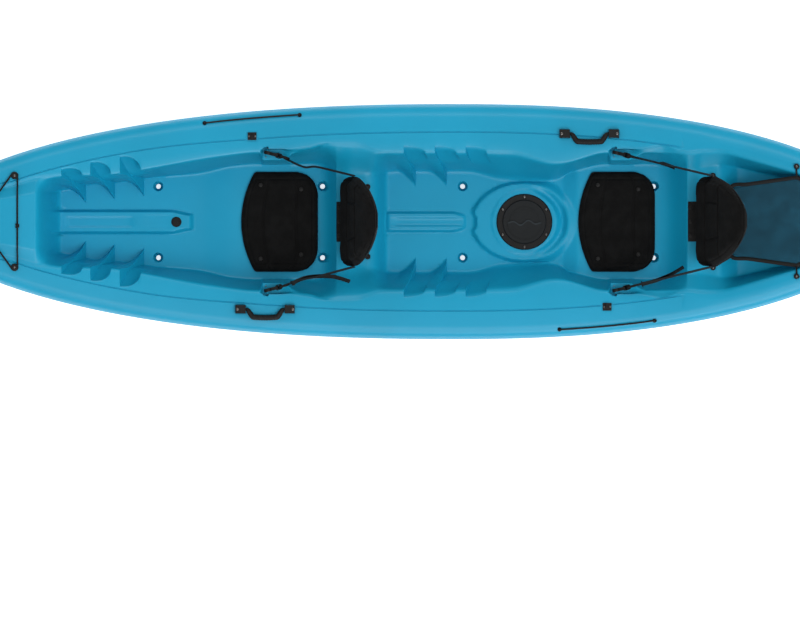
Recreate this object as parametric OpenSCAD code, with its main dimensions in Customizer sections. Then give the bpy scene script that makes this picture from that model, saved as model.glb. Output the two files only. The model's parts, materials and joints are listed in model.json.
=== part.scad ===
// Tandem sit-on-top kayak with two folding seats. Millimetres, +X to the stern, +Y to starboard, +Z up.

/* [Hull] */
// Length from the bow tip to the stern tip
hull_length = 3500; // [3400:10:3900]
// Widest width, over both gunwales
hull_beam = 850; // [820:2:920]
// Height of the side deck amidships, over the flat of the bottom
deck_height = 281; // [270:1:310]
// How much higher the side deck is at the bow tip
bow_rise = 45; // [20:1:70]
// How much higher the side deck is at the stern tip
stern_rise = 88; // [60:1:110]
// Crown of the fore deck over its own edge
deck_crown = 20; // [12:1:28]
// Thickness of the moulded skin
skin = 6; // [5:0.5:8]
// Width of the flat strip that the hull rests on
keel_flat = 320; // [300:2:340]
// Distance of the groove in the side deck from the gunwale
groove_inset = 103; // [96:1:108]

/* [Cockpits] */
// Height of both footwell floors over the bottom
floor_height = 105; // [98:1:112]
// Height of the front seat pan over the bottom
front_pan = 112; // [108:1:118]
// Height of the rear seat pan over the bottom
rear_pan = 130; // [124:1:136]
// Height of the hump behind the front seat
front_hump = 190; // [180:1:200]
// Height of the hump behind the rear seat
rear_hump = 255; // [246:1:262]
// Height of the stern tank well floor
tank_floor = 196; // [186:1:206]
// Half width of the cockpit at its edge
coaming = 252; // [246:1:258]
// Height of the ridge along the middle of each footwell
ridge_height = 18; // [14:1:22]
// Height of the hatch platform over the footwell floor
platform_height = 22; // [18:1:26]
// Reach of the foot steps into the front footwell
front_step = 56; // [46:1:60]
// Reach of the foot steps into the rear footwell
rear_step = 48; // [40:1:54]
// Depth of the four pockets that the strap eyes stand in
pocket_deep = 24; // [20:1:28]
// Bore radius of the eight scuppers
scupper_r = 9; // [7:0.5:11]
// Radius of the funnel at the top of each scupper
scupper_top_r = 18; // [15:0.5:20]
// Distance of the scuppers from the centre line
scupper_y = 129; // [124:1:134]

/* [Seats] */
// Length of a seat pad
pad_length = 276; // [256:1:284]
// Width of a seat pad
pad_width = 360; // [330:1:370]
// Thickness of a seat pad at its crown
pad_thick = 30; // [24:1:36]
// Width of a backrest
back_width = 336; // [310:1:344]
// Height of a backrest from its hinge
back_height = 380; // [350:1:394]
// Thickness of a backrest cushion
back_thick = 40; // [32:1:46]
// Lean of the front backrest
front_lean = 13; // [8:1:18]
// Lean of the rear backrest
rear_lean = 20; // [14:1:24]
// Width of the seat webbing
strap_width = 32; // [26:1:36]
// Thickness of the seat webbing
strap_thick = 2.4; // [1.8:0.1:3]

/* [Hatch and drain] */
// Outer radius of the hatch flange
hatch_flange_r = 101; // [98:0.5:104]
// Bore radius of the hatch ring
hatch_bore_r = 72; // [69:0.5:74]
// Radius of the hatch lid
hatch_lid_r = 79; // [77:0.5:81]
// Number of hatch screws
hatch_screws_n = 6; // [4:1:8]
// Depth of the storage cup under the hatch
cup_depth = 92; // [70:1:100]
// Bore radius of the drain socket
drain_r = 9.5; // [8:0.1:10.5]
// Radius of the drain plug head
drain_head_r = 14.5; // [13:0.1:16]

/* [Handles and deck lines] */
// Distance between the two pivots of a handle
handle_span = 177; // [160:1:190]
// Distance between the two pivots of the bow and stern handles
end_span = 132; // [126:1:140]
// Reach of a handle from its pivots
handle_reach = 30; // [27:1:34]
// Radius of a handle grip
grip_r = 9; // [8:0.2:10]
// Radius of the elastic deck cords
cord_r = 3.2; // [2.6:0.1:3.8]
// Radius of the deck buttons
button_r = 13; // [11:0.2:14]
// Length of each paddle keeper cord
keeper_length = 342; // [300:1:360]
// Half width of the tank well cover at its front edge
cover_half = 148; // [138:1:152]
// Gap between the rear edge of the tank well cover and the end of the well
cover_stop = 48; // [40:1:80]

/* [Hidden] */
$fn = 32;

half = hull_length / 2;
beam_half = hull_beam / 2;
// station of the widest beam, and the half width of the stem
x_wide = 176;
stem = 14;

function ease(t) = let(c = max(0, min(1, t))) c * c * (3 - 2 * c);
function ss(a, b, x) = ease((x - a) / (b - a));
function seg(tbl, x, i) = i >= len(tbl) - 2 || x <= tbl[i + 1][0] ? i : seg(tbl, x, i + 1);
function look(tbl, x) =
  let(i = seg(tbl, x, 0), a = tbl[i], b = tbl[i + 1])
  a[1] + (b[1] - a[1]) * ss(a[0], b[0], x);
function unit(v) = v / norm(v);

// lines of the hull along its length
function reach(x) = x < x_wide ? (x_wide - x) / (x_wide + half) : (x - x_wide) / (half - x_wide);
function beam(x) = stem + (beam_half - stem) * pow(max(0, 1 - pow(reach(x), 2.3)), 0.58);
function sheer(x) = deck_height + (x < x_wide ? bow_rise * pow(reach(x), 2)
  : stern_rise * pow(max(0, (reach(x) - 0.4) / 0.6), 1.3));
function keel(x) = x < -half + 270 ? 150 * pow((-half + 270 - x) / 270, 2)
  : x > half - 550 ? 170 * pow((x - half + 550) / 550, 2.2) : 0;
function tight(x) = min(1, beam(x) / 240);
function groove(x) = beam(x) - (groove_inset - 35 * ss(1000, 1130, x)) * tight(x);

// the cockpit: where each zone starts and ends along the hull
bow_wall = [-1335, -1246];
step_wall = [-122, -65];
hatch_x = 428;
platform_y = 150;
tank_end = half - 120;
floor_line = [[-1335, floor_height], [-740, floor_height], [-625, front_pan], [-319, front_pan],
  [-252, front_hump], [step_wall[0], front_hump], [step_wall[1], floor_height], [560, floor_height],
  [626, rear_pan], [905, rear_pan], [1012, rear_hump], [1122, rear_hump], [1205, tank_floor],
  [1420, tank_floor + 30], [half, tank_floor + 40]];
// pockets for the strap eyes: where they start, how wide their shelf is, and how far they cut into the deck
pockets = [-526, 728];
shelf = 30;
pocket_out = 10;
function one_pocket(x, a) = ss(a, a + 11, x) * (1 - ss(a + 74, a + 136, x));
function pocket(x) = pocket_deep * (one_pocket(x, pockets[0]) + one_pocket(x, pockets[1]));
edge_line = [[-1500, 120], [-1335, 156], [-1246, 166], [-1060, 168], [-945, 192], [-742, 226],
  [-526, coaming], [-515, coaming - shelf], [-452, coaming - shelf], [-390, coaming], [400, coaming],
  [544, coaming - 43], [698, coaming], [728, coaming], [739, coaming - shelf], [802, coaming - shelf],
  [864, coaming], [1000, coaming],
  [1130, coaming + 3], [1393, 180], [half - 110, 108]];
foot_line = [[-1500, 80], [-1335, 112], [-1246, 128], [-945, 158], [-742, 172], [-610, 206],
  [-317, 206], [-225, 158], [-122, 158], [-65, 177], [250, 177], [338, platform_y - 4],
  [548, platform_y - 4], [626, 206], [905, 206], [1010, 178], [1122, 192], [1150, 200],
  [1380, 166], [half - 110, 96]];
function well(x) = ss(bow_wall[0], bow_wall[1], x) * (1 - ss(tank_end - 70, tank_end, x));
function deck_line(x) = sheer(x) + deck_crown * pow(tight(x), 2);
function floor_z(x) = deck_line(x) + (look(floor_line, x) - deck_line(x)) * well(x);
function edge_y(x) = min(look(edge_line, x), groove(x) - 16 * tight(x));
function foot_y(x) = min(look(foot_line, x), 0.82 * edge_y(x));

// foot steps: each is cut outward at the cockpit edge and stands inward at the floor
front_steps = [-1240, -1136, -1030];
rear_steps = [-8, 104, 215];
function one_step(x, t, x0, slant, out, inward) =
  let(s = x - x0 - slant * (1 - t))
  s >= 0 && s < 76 ? out * t * sqrt(1 - pow(s / 76, 2))
  : s < 0 && s > -62 ? -inward * (1 - t) * pow((s + 62) / 62, 1.5) : 0;
function sum3(v) = v[0] + v[1] + v[2];
function step(x, t) = x < -900 && x > -1300
  ? sum3([for (x0 = front_steps) one_step(x, t, x0, 92, groove(x) - edge_y(x) - 12, front_step)])
  : x > -80 && x < 320
  ? sum3([for (i = [0:2]) one_step(x, t, rear_steps[i], 52, 16, i < 2 ? rear_step : 0)]) : 0;

// ridges along the footwells and the platform under the hatch
front_ridge = [-1246, -770];
rear_ridge = [-60, 216];
function bump(x, r) = ss(r[0] - 8, r[0] + 10, x) * (1 - ss(r[1] - 18, r[1], x));
function ridge(x) = ridge_height * (bump(x, front_ridge) + 0.8 * bump(x, rear_ridge));
function platform(x, y) =
  let(a = x < hatch_x ? 196 : 172, d = norm([(x - hatch_x) / a, y / (platform_y + 4)]))
  platform_height * (1 - ss(0.86, 0.98, d));

// one half section, from the keel to the middle of the deck, as [y, z], with y never turning back
function falling(v, i = 0, last = 1e6) = i >= len(v) ? []
  : let(y = min(v[i][0], last - 0.6)) concat([[y, v[i][1]]], falling(v, i + 1, y));
walls = [1, 0.67, 0.33, 0];
first_up = 4;
function section(x) =
  let(b = beam(x), k = tight(x), zd = sheer(x), zk = keel(x), q = min(1, (zd - zk) / deck_height),
    g = groove(x), e = edge_y(x), f = foot_y(x), zf = floor_z(x), h = pocket(x), ze = zd - 3 * q - h,
    lip = max(e + max(pocket_out * k, step(x, 1) + 1), h > 0 ? coaming + pocket_out : 0),
    dip = 4 * q * (1 - ss(960, 1010, x)))
  concat(
    [[0, zk], [min(keel_flat / 2, 0.5 * b), zk], [b - 70 * k, zk + 15 * q], [b - 15 * k, zk + 68 * q],
      [b, zd - 58 * q], [b - 13 * k, zd - 18 * q], [b - 38 * k, zd - 4 * q], [g + 6 * k, zd],
      [g, zd - dip], [g - 6 * k, zd]],
    falling(concat([[min(g - 7 * k, lip), zd - q], [min(g - 8 * k, lip - 2), zd - 1.4 * q - h]],
      [for (t = walls) [min(g - 7 * k, f + (e - f) * t + step(x, t)), zf + (ze - zf) * ease(t)]],
      [[min(0.6 * f, 88), zf + platform(x, 0.6 * f)], [min(44, 0.42 * f), zf + platform(x, 44)],
        [min(36, 0.3 * f), zf + platform(x, 36) + ridge(x)]])),
    [[0, zf + platform(x, 0) + ridge(x)]]);

// height of the deck at any place, and its lowest height under a foot
function up_z(s, y, i) = i >= len(s) - 2 || y >= s[i + 1][0] ? i : up_z(s, y, i + 1);
function deck_z(x, y) =
  let(s = section(x), i = up_z(s, abs(y), first_up), a = s[i], b = s[i + 1])
  b[1] + (a[1] - b[1]) * (abs(y) - b[0]) / max(0.01, a[0] - b[0]);
function low_z(x, y, w, d) =
  min([for (i = [-1, 0, 1]) for (j = [-1, 0, 1]) deck_z(x + i * w, y + j * d)]) - 0.4;
function high_z(x, y, w) = max([for (i = [-1, 0, 1]) deck_z(x + i * w, y)]);

// stations along the hull, closer together where the deck has detail
function spread(a, b, n) = [for (i = [0:n - 1]) a + (b - a) * i / n];
stations = concat([-half, -half + 8, -half + 28, -half + 62], spread(-half + 110, -1400, 4),
  [-1400], spread(bow_wall[0], bow_wall[1], 4), spread(bow_wall[1], -925, 14), spread(-925, -600, 5),
  [-600, -560, -526, -520, -515], spread(-488, -360, 4), [-360], spread(-317, step_wall[0], 6),
  spread(step_wall[0], step_wall[1], 3), spread(step_wall[1], 300, 15), spread(300, 626, 9),
  [626, 676, 728, 734, 739], spread(766, 894, 4), spread(905, 1122, 6),
  spread(1122, 1240, 5), spread(1240, tank_end - 70, 5), spread(tank_end - 70, tank_end, 3),
  [tank_end, half - 70, half - 36, half - 12, half]);

// a closed skin through rings of equal length, with a fan at both ends
module skin_over(rings) {
  n = len(rings[0]);
  m = len(rings);
  mid = [for (r = [rings[0], rings[m - 1]]) [r[0][0], 0, (r[0][2] + r[floor(n / 2)][2]) / 2]];
  points = concat([for (r = rings) for (p = r) p], mid);
  sides = [for (i = [0:m - 2]) for (j = [0:n - 1])
    let(a = i * n + j, b = i * n + (j + 1) % n, c = b + n, d = a + n) each [[a, c, b], [a, d, c]]];
  ends = [for (j = [0:n - 1]) each [[n * m, j, (j + 1) % n],
    [n * m + 1, (m - 1) * n + (j + 1) % n, (m - 1) * n + j]]];
  polyhedron(points, concat(sides, ends), convexity = 10);
}
function whole(x, s) = concat([for (p = s) [x, p[0], p[1]]],
  [for (i = [len(s) - 2:-1:1]) [x, -s[i][0], s[i][1]]]);

// the hollow inside the skin, with fewer points; every line keeps clear of the deck for 60 mm each way
inner_x = concat([-half + 70, -half + 140, -half + 260], spread(-1380, -1200, 4),
  spread(-1200, -660, 6), spread(-660, -360, 3), spread(-360, 0, 7), spread(0, 560, 6),
  spread(560, 880, 4), spread(880, 1280, 7), spread(1280, tank_end - 100, 2),
  [tank_end - 100, tank_end - 40, tank_end + 30, half - 66]);
near = [-66, -44, -22, 0, 22, 44, 66];
function inner(x) =
  let(b = beam(x), k = tight(x), zk = max(keel(x - 66), keel(x + 66)) + skin,
    zd = min(sheer(x - 66), sheer(x + 66)), q = min(1, (zd - zk) / deck_height),
    w = max([for (d = near) max(edge_y(x + d) + step(x + d, 1),
      pocket(x + d) > 0 ? coaming + pocket_out : 0)]) + 15 * k,
    f = max([for (d = near) foot_y(x + d)]) + 17 * k,
    zf = max(zk + 8, min([for (d = near) floor_z(x + d)]) - skin - 2))
  concat([[0, zk]],
    [[min(0.45 * keel_flat, 0.45 * b), zk], [b - 76 * k, zk + 17 * q], [b - 23 * k - 2, zk + 72 * q],
      [b - 7 * k - 3, zd - 62 * q], [b - 22 * k - 4, zd - 26 * q], [b - 46 * k - 4, zd - skin - 8 * q]],
    falling([[min(b - 56 * k - 4, w), zd - skin - 9 * q], [f, min(zf, zd - 2)]]), [[0, min(zf, zd + 4)]]);

scuppers = [[-896, floor_height], [-302, front_pan + 2], [205, floor_height], [896, rear_pan]];
hatch_z = floor_height + platform_height + 0.05;
drain_x = -830;
drain_z = floor_height + ridge_height;

// feet of the deck fittings: [x, y, z]
function both(x, y, w, d) = [for (s = [-1, 1]) [x, s * y, low_z(x, y, w, d)]];
eye_in = 4;
front_eye = [pockets[0] + 25, coaming - eye_in];
rear_eye = [pockets[1] + 25, coaming - eye_in];
eyes = concat(both(front_eye[0], front_eye[1], 14, 21), both(rear_eye[0], rear_eye[1], 14, 21));
stays_at = concat(both(-138, 126, 9, 9), both(1102, 118, 9, 9));
bow_pins = concat(both(-half + 342, 165, button_r, button_r),
  [[-half + 225, 0, low_z(-half + 225, 0, button_r, button_r)]]);
keeper_mid = [[-554, 1], [724, -1]];
function keeper_y(x) = beam(x) - 27;
eyelet_r = 5.4;
keeper_hooks_at = [for (m = keeper_mid) let(y = beam_half - 118) [m[0], m[1] * y, low_z(m[0], y, 18, 15)]];
keeper_ends = [for (m = keeper_mid) for (e = [-1, 1]) let(x = m[0] + e * keeper_length / 2,
  y = keeper_y(x)) [x, m[1] * y, low_z(x, y, 7, 6)]];
cover_x = 1172;
cover_length = tank_end - cover_stop - cover_x;
cover_mid = cover_x + 0.566 * cover_length;
cover_last = cover_x + cover_length - 16;
anchor_out = 18;
anchors = concat(both(1106, 166, 9, 9), both(cover_mid, edge_y(cover_mid) + anchor_out, 9, 9),
  both(cover_last, edge_y(cover_last) + anchor_out, 9, 9));

// handles: [middle, axis turned across the hull?, side that the grip lies on]
side_x = [-507, 660];
handle_out = 64;
side_y = coaming + handle_out;
function pair_z(x, y) = min(low_z(x - handle_span / 2, y, 20, 17), low_z(x + handle_span / 2, y, 20, 17));
bow_hx = -half + 95;
stern_hx = half - 78;
handle_at = [[side_x[0], -side_y, pair_z(side_x[0], side_y), 0],
  [side_x[1], side_y, pair_z(side_x[1], side_y), 180],
  [bow_hx, 0, low_z(bow_hx, end_span / 2, 17, 20), -90],
  [stern_hx, 0, low_z(stern_hx, end_span / 2, 17, 20), 90]];
function span(i) = i < 2 ? handle_span : end_span;
// the port grip lies outboard, the starboard grip inboard, the end grips towards their own ends
handle_turn = [0, 0, -90, 90];
side_up = 13.5;
end_up = 20.5;
// a side grip lies clear of the highest deck under it
grip_gap = 1.5;
function grip_rise(i) = let(p = handle_at[i]) max([for (dx = [-0.35, 0, 0.35])
  for (d = [0, 0.5, 1]) deck_z(p[0] + dx * span(i), p[1] - d * (handle_reach + grip_r))]) - p[2];
function pivot_up(i) = i < 2 ? max(side_up, grip_rise(i) + grip_r + grip_gap) : end_up;
pin_r = 4;

module hull_form() resize([0, 0, 0]) difference() {
  skin_over([for (x = stations) whole(x, section(x))]);
  difference() {
    skin_over([for (x = inner_x) whole(x, inner(x))]);
    for (s = scuppers) for (side = [-1, 1]) translate([s[0], side * scupper_y, -10])
      cylinder(h = 300, r = scupper_top_r + 7, $fn = 16);
  }
  translate([hatch_x, 0, hatch_z - 60]) cylinder(h = 100, r = hatch_bore_r + 8, $fn = 48);
  translate([drain_x, 0, drain_z - 60]) cylinder(h = 100, r = drain_r + 2.4, $fn = 24);
  each_eye() translate([-eye_half - 1.5, -10.5, 0]) cube([2 * eye_half + 3, 21, 30]);
  for (p = stays_at) translate(p) cylinder(h = 30, r = 11, $fn = 16);
  for (p = bow_pins) translate(p) cylinder(h = 30, r = button_r + 1, $fn = 20);
  for (p = keeper_hooks_at) translate([p[0] - 21, p[1] - 18, p[2]]) cube([42, 36, 30]);
  for (p = keeper_ends) translate(p) cylinder(h = 30, r = 8, $fn = 12);
  for (p = keeper_ends) translate(p - [0, 0, 4.3]) cylinder(h = 30, r = eyelet_r + 0.25, $fn = 16);
  for (p = anchors) translate(p) cylinder(h = 30, r = 11.5, $fn = 16);
  for (i = [0:3]) translate([for (c = [0:2]) handle_at[i][c]]) rotate(handle_turn[i])
    for (e = [-1, 1]) translate([e * span(i) / 2 - 20, -17, 0]) cube([40, 34, 30]);
}

module hull_shell() color([0.05, 0.5, 0.72]) difference() {
  hull_form();
  for (s = scuppers) for (side = [-1, 1]) translate([s[0], side * scupper_y, 0]) {
    translate([0, 0, -10]) cylinder(h = 300, r = scupper_r);
    translate([0, 0, s[1] - 16]) cylinder(h = 60, r1 = scupper_r + 1, r2 = scupper_top_r + 26);
  }
}

black = [0.07, 0.07, 0.08];
steel = [0.75, 0.76, 0.78];

// hatch: a cup, a ring that clamps its lip, screws, a gasket and a lid
module on_hatch() translate([hatch_x, 0, hatch_z]) children();
screw_ring = (hatch_bore_r + hatch_flange_r) / 2 + 4;
module screw_holes() for (i = [0:hatch_screws_n - 1])
  rotate(90 + i * 360 / hatch_screws_n) translate([screw_ring, 0, -20]) cylinder(h = 40, r = 2.6);
module hatch_cup() color(black) on_hatch() difference() {
  rotate_extrude($fn = 96) polygon([[0, -cup_depth], [hatch_bore_r + 6, -cup_depth],
    [hatch_bore_r + 6, 0], [hatch_flange_r - 5, 0], [hatch_flange_r - 5, 1.5], [hatch_bore_r + 4, 1.5],
    [hatch_bore_r + 4, 2.5 - cup_depth], [0, 2.5 - cup_depth]]);
  screw_holes();
}
module hatch_ring() color(black) on_hatch() difference() {
  rotate_extrude($fn = 96) polygon([[hatch_bore_r, -14], [hatch_bore_r + 3.5, -14],
    [hatch_bore_r + 3.5, 1.5], [hatch_flange_r - 4.5, 1.5], [hatch_flange_r - 4.5, 0],
    [hatch_flange_r, 0], [hatch_flange_r, 3], [hatch_flange_r - 3, 6], [hatch_bore_r, 6]]);
  screw_holes();
}
module hatch_screws() color(steel) on_hatch() for (i = [0:hatch_screws_n - 1])
  rotate(90 + i * 360 / hatch_screws_n) translate([screw_ring, 0, 0]) rotate_extrude()
    polygon([[0, -5], [2.2, -5], [2.2, 6], [4.6, 6], [4.2, 7.6], [2.5, 8.4], [0, 8.6]]);
module hatch_gasket() color([0.16, 0.16, 0.17]) on_hatch() translate([0, 0, 1]) difference() {
  cylinder(h = 3, r = hatch_bore_r - 0.3, $fn = 96);
  translate([0, 0, -1]) cylinder(h = 5, r = hatch_bore_r - 4.9, $fn = 96);
}
wave = [for (i = [0:12]) [-60 + i * 10, 9 * sin((i - 6) * 60) * (1 - pow((i - 6) / 6, 2))]];
module hatch_lid() color(black) on_hatch() union() {
  rotate_extrude($fn = 96) polygon([[0, -9], [hatch_bore_r - 3, -9], [hatch_bore_r - 3, 0.8],
    [hatch_bore_r - 5, 0.8], [hatch_bore_r - 5, 4.2], [hatch_bore_r - 3, 4.2], [hatch_bore_r - 3, 6.3],
    [hatch_lid_r, 6.3], [hatch_lid_r, 9.5], [hatch_lid_r - 2.5, 12], [0, 12]]);
  // raised half with a waved edge, for the fingers
  translate([0, 0, 11.5]) linear_extrude(4.5) polygon(concat(wave,
    [for (a = [-6:-6:-174]) 62 * [cos(a), sin(a)]]));
  translate([0, 0, 11.5]) linear_extrude(2.5) difference() {
    circle(r = 54, $fn = 64);
    translate([0, -9]) circle(r = 55, $fn = 64);
  }
}

// drain: a socket in the ridge, a plug that screws into it and its washer
module on_drain() translate([drain_x, 0, drain_z]) children();
module drain_socket() color(black) on_drain() rotate_extrude($fn = 48) polygon([[drain_r, -13],
  [drain_r + 2, -13], [drain_r + 2, 0], [drain_r + 9.5, 0], [drain_r + 8.5, 1.5], [drain_r, 1.5]]);
module drain_gasket() color([0.2, 0.2, 0.21]) on_drain() translate([0, 0, 1.5]) difference() {
  cylinder(h = 1.5, r = drain_r + 3.5, $fn = 48);
  translate([0, 0, -1]) cylinder(h = 4, r = drain_r + 0.5, $fn = 48);
}
module drain_plug() color(black) on_drain() difference() {
  rotate_extrude($fn = 48) polygon([[0, -12], [drain_r - 1.2, -12], [drain_r - 0.06, -10.8],
    [drain_r - 0.06, 3], [drain_head_r, 3], [drain_head_r, 7.5], [drain_head_r - 1.5, 9], [0, 9]]);
  for (s = [-1, 1]) translate([-drain_head_r, s > 0 ? 3 : -drain_head_r, 6]) cube([2 * drain_head_r,
    drain_head_r - 3, 9]);
}

// seat pads: a rounded quilted cushion over a flat pan
function plump(w) = 1 - 0.5 * pow(abs(w), 8);
quilt_u = [-1, -0.95, -0.8, -0.62, -0.5, -0.43, -0.36, -0.18, 0, 0.18, 0.36, 0.43, 0.5, 0.62, 0.8, 0.95, 1];
quilt_v = [-1, -0.95, -0.82, -0.6, -0.3, 0, 0.3, 0.6, 0.82, 0.95, 1];
function seam(u) = abs(abs(u) - 0.43) < 0.01 ? 5 : 0;
// the front edge is an arc, and the rear corners are rounded off
pad_arc = 48;
pad_corner = 69;
function pad_xy(u, v) = let(a = pad_arc * v * v - pad_length / 2,
  b = pad_length / 2 - pad_corner * pow(max(0, abs(v) - 0.55) / 0.45, 2))
  [a + (b - a) * (1 + u) / 2, pad_width / 2 * v];
function rim_list(nu, nv) = concat([for (i = [0:nu - 1]) [i, 0]], [for (j = [1:nv - 1]) [nu - 1, j]],
  [for (i = [nu - 2:-1:0]) [i, nv - 1]], [for (j = [nv - 2:-1:1]) [0, j]]);
module pad() {
  nu = len(quilt_u);
  nv = len(quilt_v);
  rim = rim_list(nu, nv);
  top = [for (u = quilt_u) for (v = quilt_v) let(p = pad_xy(u, v))
    [p[0], p[1], pad_thick * plump(u) * plump(v) - seam(u) * plump(v) - 3 * (1 - u * u) * (1 - v * v)]];
  low = [for (r = rim) let(p = pad_xy(quilt_u[r[0]], quilt_v[r[1]])) [0.975 * p[0], 0.975 * p[1], 0]];
  n = len(rim);
  t = len(top);
  polyhedron(concat(top, low), concat(
    [for (i = [0:nu - 2]) for (j = [0:nv - 2]) let(a = i * nv + j) each
      [[a, a + 1, a + nv + 1], [a, a + nv + 1, a + nv]]],
    [for (k = [0:n - 1]) let(a = rim[k][0] * nv + rim[k][1], q = rim[(k + 1) % n],
      b = q[0] * nv + q[1]) each [[a, b, t + k], [b, t + (k + 1) % n, t + k]]],
    [[for (k = [0:n - 1]) t + k]]));
}
snaps = [[70 - pad_length / 2, pad_width / 2 - 47], [pad_length / 2 - 60, pad_width / 2 - 62]];
module at_snaps() for (p = snaps) for (j = [-1, 1]) translate([p[0], j * p[1], 0]) children();
front_seat_x = -457;
rear_seat_x = 761;
module on_pan(f) translate([f ? front_seat_x : rear_seat_x, 0, f ? front_pan : rear_pan]) children();
module seat_pad(f) color(black) on_pan(f) translate([0, 0, 0.3]) resize([0, 0, 0]) difference() {
  pad();
  at_snaps() translate([0, 0, -5]) cylinder(h = 60, r = 4.4, $fn = 24);
}
module pad_snaps(f) color(steel) on_pan(f) at_snaps() rotate_extrude()
  let(h = pad_thick - 0.9) polygon([[0, -4], [4, -4], [4, h], [7.5, h], [7, h + 1.6], [0, h + 2.4]]);

// backrests: drawn upright at the hinge, then leaned
function hinge_at(f) = f ? [-205, 0, front_hump + 9] : [1062, 0, rear_hump + 9];
module on_hinge(f) translate(hinge_at(f)) rotate([0, f ? front_lean : rear_lean, 0]) children();
back_u = [-1, -0.94, -0.78, -0.5, -0.42, -0.34, 0, 0.34, 0.42, 0.5, 0.78, 0.94, 1];
back_v = [0, 0.04, 0.14, 0.3, 0.36, 0.42, 0.58, 0.64, 0.7, 0.84, 0.95, 1];
function back_half(v) = back_width / 2 * (1 - 0.1 * pow(1 - v, 3))
  * sqrt(1 - pow(max(0, v - 0.42) / 0.62, 2.6));
function back_bend(v) = 52 * pow(max(0, v - 0.3), 1.8);
function back_seam(u, v) = (abs(v - 0.36) < 0.01 || abs(v - 0.64) < 0.01) && abs(u) < 0.9 ? 6
  : abs(abs(u) - 0.42) < 0.01 && v > 0.3 && v < 0.7 ? 5 : 0;
function back_depth(u, v) = max(4, back_thick * plump(u) * (1 - 0.5 * pow(v, 10)) * min(1, 0.1 + v * 4.2)
  - back_seam(u, v));
module sheet(us, vs, low, high, front, rear) {
  nu = len(us);
  nv = len(vs);
  rim = rim_list(nu, nv);
  n = len(rim);
  t = len(front);
  polyhedron(concat(front, rear), concat(
    [for (i = [0:nu - 2]) for (j = [0:nv - 2]) let(a = i * nv + j) each
      [[a, a + 1, a + nv + 1], [a, a + nv + 1, a + nv]]],
    [for (i = [0:nu - 2]) for (j = [0:nv - 2]) let(a = t + i * nv + j) each
      [[a, a + nv + 1, a + 1], [a, a + nv, a + nv + 1]]],
    [for (k = [0:n - 1]) let(a = rim[k][0] * nv + rim[k][1], q = rim[(k + 1) % n],
      b = q[0] * nv + q[1]) each [[a, b, t + a], [b, t + b, t + a]]]));
}
hem_r = 6;
rest_gap = 0.3;
back_foot = hem_r + rest_gap;
function back_at(u, v, w, in) = [back_bend(v) + w, u * (back_half(v) - in),
  back_foot + v * (back_height - back_foot - in)];
module back_cushion(f) color(black) on_hinge(f) sheet(back_u, back_v, 0, 0,
  [for (u = back_u) for (v = back_v) back_at(u, v, -back_depth(u, v), 0)],
  [for (u = back_u) for (v = back_v) back_at(u, v, 0, 0)]);
board_gap = 0.5;
board_thick = 4;
board_in = 12;
board_u = [-1, -0.5, 0, 0.5, 1];
board_v = [0, 0.3, 0.42, 0.58, 0.7, 0.84, 0.95, 1];
module back_board(f) color([0.1, 0.1, 0.11]) on_hinge(f) sheet(board_u, board_v, 0, 0,
  [for (u = board_u) for (v = board_v) back_at(u, v, board_gap, board_in)],
  [for (u = board_u) for (v = board_v) back_at(u, v, board_gap + board_thick, board_in)]);
// the hinge: a flap bolted on the hump, with a round hem on the axis
flap_width = 144;
module back_hinge(f) color(black) translate(hinge_at(f)) difference() {
  union() {
    rotate([90, 0, 0]) cylinder(h = flap_width + 40, r = hem_r, center = true);
    translate([-46, -flap_width / 2, -9]) cube([46, flap_width, 3.5]);
    translate([-3, -flap_width / 2, -9]) cube([6, flap_width, 9]);
  }
  for (y = [-50, 0, 50]) translate([-37, y, -20]) cylinder(h = 40, r = 3.2);
}
module hinge_bolts(f) color(steel) translate(hinge_at(f)) for (y = [-50, 0, 50]) translate([-37, y, -5.5])
  rotate_extrude() polygon([[0, -9], [3, -9], [3, 0], [6.5, 0], [6, 2.2], [0, 3.4]]);

// a point on the leaned backrest
function on_back(f, x, y, z) = let(a = f ? front_lean : rear_lean)
  hinge_at(f) + [x * cos(a) + z * sin(a), y, z * cos(a) - x * sin(a)];

// webbing: a flat band along a route, standing on edge
function smooth(p, n) = concat([for (i = [0:len(p) - 2]) for (k = [0:n - 1])
  let(t = k / n, a = p[max(0, i - 1)], b = p[i], c = p[i + 1], d = p[min(len(p) - 1, i + 2)])
  0.5 * (2 * b + (c - a) * t + (2 * a - 5 * b + 4 * c - d) * t * t + (3 * b - a - 3 * c + d) * t * t * t)],
  [p[len(p) - 1]]);
function along(p, i) = unit(p[min(i + 1, len(p) - 1)] - p[max(i - 1, 0)]);
function around(p, i) = unit(p[(i + 1) % len(p)] - p[(i + len(p) - 1) % len(p)]);
module swept(rings, loop = false) {
  n = len(rings[0]);
  m = len(rings);
  polyhedron([for (r = rings) for (p = r) p], concat(
    [for (i = [0:m - (loop ? 1 : 2)]) for (j = [0:n - 1]) let(a = i * n + j, b = i * n + (j + 1) % n,
      c = ((i + 1) % m) * n + (j + 1) % n, d = ((i + 1) % m) * n + j) each [[a, c, b], [a, d, c]]],
    loop ? [] : [[for (j = [0:n - 1]) j], [for (j = [n - 1:-1:0]) (m - 1) * n + j]]), convexity = 6);
}
module band(p, w, up = [0, 0, 1], loop = false) swept([for (i = [0:len(p) - 1])
  let(t = loop ? around(p, i) : along(p, i), s = unit(cross(up, t)), u = cross(t, s))
  [for (c = [[1, 1], [-1, 1], [-1, -1], [1, -1]])
    p[i] + s * c[0] * strap_thick / 2 + u * c[1] * w / 2]], loop);
module cord(p, r, n = 8, loop = false) swept([for (i = [0:len(p) - 1])
  let(t = loop ? around(p, i) : along(p, i),
    s = unit(cross([0.02, 0.01, 1], t)), u = cross(t, s))
  [for (k = [0:n - 1]) p[i] + r * (s * cos(k * 360 / n) + u * sin(k * 360 / n))]], loop);

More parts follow.
